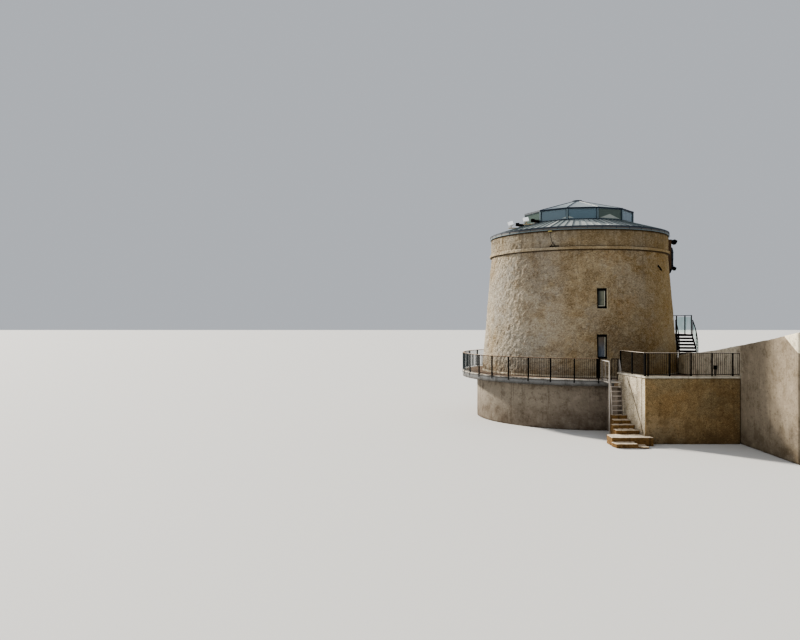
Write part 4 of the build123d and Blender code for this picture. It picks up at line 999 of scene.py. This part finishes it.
def floodlight_set():
    b = Build()
    for r, a, tilt in ((4.30, -165.0, 18), (3.90, -150.0, 10)):
        base = pol(r, a, cone_z(r))
        rz = Matrix.Rotation(math.radians(-5), 3, "Z")
        b.box(base + Vector((0.14, 0, 0.07)), (0.94, 0.12, 0.05), rz, 2)
        b.box(base + Vector((-0.17, 0, 0.14)), (0.05, 0.05, 0.20), rz, 2)
        b.box(base + Vector((0.34, 0, 0.13)), (0.05, 0.05, 0.14), rz, 2)
        head = Matrix.Rotation(math.radians(-tilt), 3, "Y") @ Matrix.Rotation(math.radians(-24), 3, "X")
        b.box(base + Vector((-0.19, -0.02, 0.35)), (0.32, 0.09, 0.28), head, 0)
        b.box(base + head @ Vector((0, -0.047, 0)) + Vector((-0.19, -0.02, 0.35)), (0.29, 0.008, 0.25), head, 3)
        b.box(base + Vector((-0.19, 0.03, 0.35)), (0.26, 0.06, 0.22), head, 1)
        b.box(base + Vector((0.36, 0, 0.25)), (0.50, 0.20, 0.13), rz @ Matrix.Rotation(math.radians(6), 3, "Y"), 1)
        b.box(base + Vector((0.22, 0, 0.34)), (0.22, 0.14, 0.09), rz, 1)
        for k in range(5):
            b.box(base + Vector((0.30 + 0.07 * k, 0, 0.325)), (0.016, 0.18, 0.04), rz, 1)
    return b.obj("roof_floodlights", [M["lamp"], M["black"], M["beige"], M["lens"]], slot="lamp_housing", bevel=0.008, replaces=("floodlights",))


floodlight_set()


# ------------------------------------------------------------------ fittings on the wall
def wall_fittings():
    b = Build()
    # small lamp under the gutter with its cable and a bracket on the string course
    rot = Matrix.Rotation(math.radians(-120), 3, "Z")
    b.box(pol(5.40, -120, 10.930), (0.10, 0.22, 0.05), rot, 0)
    b.box(pol(5.40, -119.9, 10.885), (0.10, 0.12, 0.04), rot, 1)
    b.box(pol(5.38, -120, 10.968), (0.12, 0.30, 0.02), rot, 1)
    b.tube([pol(5.352, -120, 10.95), pol(5.352, -119.8, 10.6), pol(5.352, -119.2, 10.32)], 0.010, 6, 1)
    rot = Matrix.Rotation(math.radians(-117.5), 3, "Z")
    b.box(pol(5.40, -117.5, 10.075), (0.09, 0.52, 0.045), rot, 1)
    b.tube([pol(5.40, -119.6, 10.09), pol(5.42, -118.4, 10.26), pol(5.40, -117.0, 10.10)], 0.016, 6, 1)
    b.tube([pol(5.42, -118.4, 10.26), pol(5.36, -118.6, 10.30)], 0.014, 6, 1)
    # spout on the right
    d = pol(1, -46.6)
    t = Vector((-d.y, d.x, 0))
    p = pol(r_wall(8.93), -46.6, 8.93)
    b.tube([p - t * 0.19 + Vector((0, 0, 0.14)) + d * 0.01, p + d * 0.050, p + t * 0.17 - Vector((0, 0, 0.13)) + d * 0.055], 0.045, 8, 1)
    return b.obj("wall_fittings", [M["amber"], M["black"]], slot="black_metal")


wall_fittings()


def machicolation_fittings():
    b = Build()
    rz = Matrix.Rotation(math.radians(DOOR_A), 3, "Z")
    at = lambda x, y, z: rz @ Vector((x, y, z))
    # stone joints proud of the face: courses of rough blocks
    random.seed(9)
    for j in range(6):
        z0 = 9.16 + j * 0.30
        y = -0.70
        while y < 0.69:
            w = min(random.uniform(0.26, 0.46), 0.70 - y)
            b.box(at(5.728, y + w / 2, z0 + 0.145), (0.028 + random.uniform(0, 0.014), w - 0.016, 0.28), rz @ Matrix.Rotation(random.uniform(-0.01, 0.01), 3, "X"), 2)
            y += w
    # black brackets at the ends, cut back below; their black is painted shade under the box
    for y0, y1 in ((-0.70, -0.50), (0.50, 0.70)):
        for (xa, za), (xb, zb) in (((5.48, 8.74), (5.68, 8.88)), ((5.68, 8.88), (5.80, 9.12))):
            b.hexa((at(5.30, y0, za), at(xa, y0, za), at(xa, y1, za), at(5.30, y1, za),
                    at(5.30, y0, zb), at(xb, y0, zb), at(xb, y1, zb), at(5.30, y1, zb)), 1)
    # lead capping
    b.box(at(5.56, 0, 10.955), (0.46, 1.44, 0.02), rz, 3)
    # down pipe on the near corner
    b.tube([at(5.835, -0.60, 10.26), at(5.840, -0.60, 9.9), at(5.840, -0.60, 9.16)], 0.070, 12, 3)
    b.tube([at(5.835, -0.60, 10.25), at(5.80, -0.58, 10.42), at(5.72, -0.57, 10.48)], 0.066, 12, 3)
    for z in (9.35, 9.75, 10.15):
        b.box(at(5.815, -0.60, z), (0.16, 0.15, 0.03), rz, 1)
    # lamp heads
    for z, reach, size in ((10.80, 0.36, 0.26), (9.15, 0.34, 0.19)):
        tilt = rz @ Matrix.Rotation(math.radians(28), 3, "Y")
        b.box(at(5.73 + reach - 0.11, -0.56, z + 0.02), (0.20, size * 1.2, size), tilt, 1)
        b.box(at(5.73 + reach - 0.20, -0.56, z + 0.05), (0.06, size * 0.9, size * 0.7), tilt, 3)
        for q in range(4):
            b.box(at(5.73 + reach - 0.245, -0.66 + 0.066 * q, z + 0.06), (0.07, 0.012, size * 0.66), tilt, 1)
        b.box(at(5.73 + reach - 0.005, -0.56, z - 0.03), (0.02, size * 1.05, size * 0.8), tilt, 4)
        b.box(at(5.73 + reach / 2 - 0.02, -0.56, z + 0.01), (reach, 0.05, 0.05), rz, 1)
        b.box(at(5.735, -0.56, z + 0.01), (0.02, 0.12, 0.14), rz, 1)
    b.box(at(5.81, -0.56, 10.28), (0.14, 0.10, 0.10), rz, 1)
    # aerial rods above
    for dx, dy, top in ((0.0, -0.50, 11.30), (0.07, -0.44, 11.22), (-0.06, -0.38, 11.18)):
        b.tube([at(5.62 + dx * 0.3, dy, 10.96), at(5.62 + dx * 2, dy - 0.04, top)], 0.008, 6, 1)
    return b.obj("machicolation_fittings", [M["lamp"], M["black"], M["dark_stone"], M["dark_metal"], M["stair_glass"]], slot="dark_stone",
                 bevel=0.006, replaces=("machicolation_lamps",))


machicolation_fittings()


# ------------------------------------------------------------------ handrails
def deck_handrail():
    b = Build()
    for k in range(30):
        a0, a1 = -95.5 - 10 * k, -105.5 - 10 * k
        p, q = pol(R_RAIL, a0, RAIL_TOP + 0.004), pol(R_RAIL, a1, RAIL_TOP + 0.004)
        d = (q - p).normalized()
        t = Vector((-d.y, d.x, 0)) * 0.028
        up = Vector((0, 0, 0.006))
        b.hexa((p - t - up, q - t - up, q + t - up, p + t - up, p - t + up, q - t + up, q + t + up, p + t + up))
    return b.obj("deck_handrail", [M["copper"]], slot="black_metal", bevel=0.003)


deck_handrail()


def terrace_handrail():
    b = Build()
    b.box(((0.66 + 5.18) / 2, -10.27, 4.370), (5.18 - 0.66, 0.056, 0.014))
    p, q = Vector((0.640, -10.20, 4.370)), Vector((0.312, -7.60, 4.370))
    d = (q - p).normalized()
    t = Vector((-d.y, d.x, 0)) * 0.028
    up = Vector((0, 0, 0.007))
    b.hexa((p - t - up, q - t - up, q + t - up, p + t - up, p - t + up, q - t + up, q + t + up, p + t + up))
    return b.obj("terrace_handrail", [M["rail_pale"]], slot="black_metal", bevel=0.003)


terrace_handrail()


def terrace_fittings():
    b = Build()
    # low lamp post by the boundary wall
    b.box((5.085, -7.9, 3.10), (0.05, 0.05, 0.62), None, 0)
    b.box((5.085, -7.9, 3.50), (0.13, 0.13, 0.17), None, 0)
    b.box((5.085, -7.9, 3.595), (0.15, 0.15, 0.02), None, 0)
    b.box((5.085, -7.9, 2.812), (0.16, 0.16, 0.02), None, 0)
    # thin black tube down the side of the terrace wall, along the steps
    pts = []
    for y, z in ((-8.60, 3.10), (-8.95, 2.62), (-9.30, 2.10), (-9.65, 1.55), (-9.95, 1.02), (-10.25, 0.47)):
        pts.append((left_x(y) - 0.014, y, z))
    b.tube(pts, 0.011, 6, 0)
    return b.obj("terrace_fittings", [M["black"]], slot="black_metal", bevel=0.004)


terrace_fittings()


# ------------------------------------------------------------------ door boards
def door_boards():
    b = Build()
    rz = Matrix.Rotation(math.radians(DOOR_A), 3, "Z")
    r = (R0 + (R1 - R0) * (7.123 - Z_DECK) / (Z_BAND0 - Z_DECK)) - 0.33 + 0.08
    for k in range(6):
        y = -0.405 + 0.81 * (k + 0.5) / 6
        b.box(rz @ Vector((r + 0.006, y, 5.073 + 0.99)), (0.016, 0.81 / 6 - 0.008, 1.96), rz, 0)
    for z in (5.35, 6.1, 6.85):
        b.box(rz @ Vector((r + 0.018, 0, z)), (0.012, 0.78, 0.06), rz, 1)
    b.tube([rz @ Vector((r + 0.05, 0.32, 6.0)), rz @ Vector((r + 0.05, 0.32, 6.2))], 0.012, 8, 1)
    return b.obj("door_boards", [M["door"], M["black"]], slot="door_wood", bevel=0.003)


door_boards()

# ------------------------------------------------------------------ stage, lights and camera
me = bpy.data.meshes.new("stage_floor")
S = 400.0
me.from_pydata([(-S, -S, -0.002), (S, -S, -0.002), (S, S, -0.002), (-S, S, -0.002)], [], [(0, 1, 2, 3)])
floor = bpy.data.objects.new("stage_floor", me)
scene.collection.objects.link(floor)
fm = Mat("stage_pale")
fm.color((0.62, 0.62, 0.61))
fm.rough(0.95)
me.materials.append(fm.m)

w = bpy.data.worlds.new("studio")
scene.world = w
w.use_nodes = True
bg = w.node_tree.nodes.get("Background") or w.node_tree.nodes.new("ShaderNodeBackground")
bg.inputs["Color"].default_value = (0.80, 0.84, 0.90, 1)
bg.inputs["Strength"].default_value = 0.50

sun = bpy.data.lights.new("key", "SUN")
sun.energy = 7.0
sun.angle = math.radians(5)
sun.color = (1.0, 0.94, 0.84)
so = bpy.data.objects.new("key", sun)
scene.collection.objects.link(so)
# light travels from the far left towards the right front
el, d = math.radians(25), Vector((-0.69, 0.724, 0)).normalized()
v = Vector((d.x * math.cos(el), d.y * math.cos(el), math.sin(el)))
so.rotation_euler = v.to_track_quat("Z", "Y").to_euler()

fill = bpy.data.lights.new("fill", "SUN")
fill.energy = 0.45
fill.angle = math.radians(60)
fill.color = (1.0, 0.96, 0.90)
fo = bpy.data.objects.new("fill", fill)
scene.collection.objects.link(fo)
v = Vector((-0.80, -0.55, 0.50)).normalized()
fo.rotation_euler = v.to_track_quat("Z", "Y").to_euler()

cam = bpy.data.cameras.new("camera")
co = bpy.data.objects.new("camera", cam)
scene.collection.objects.link(co)
co.location = (-11.124, -43.632, 5.905)
co.rotation_euler = (math.radians(90), 0, 0)
cam.sensor_width = 36
cam.lens = 31.26
cam.shift_y = 0.001
cam.clip_end = 2000
scene.camera = co
scene.view_settings.view_transform = "AgX"
scene.view_settings.look = "AgX - Medium High Contrast"
scene.view_settings.exposure = 0.15
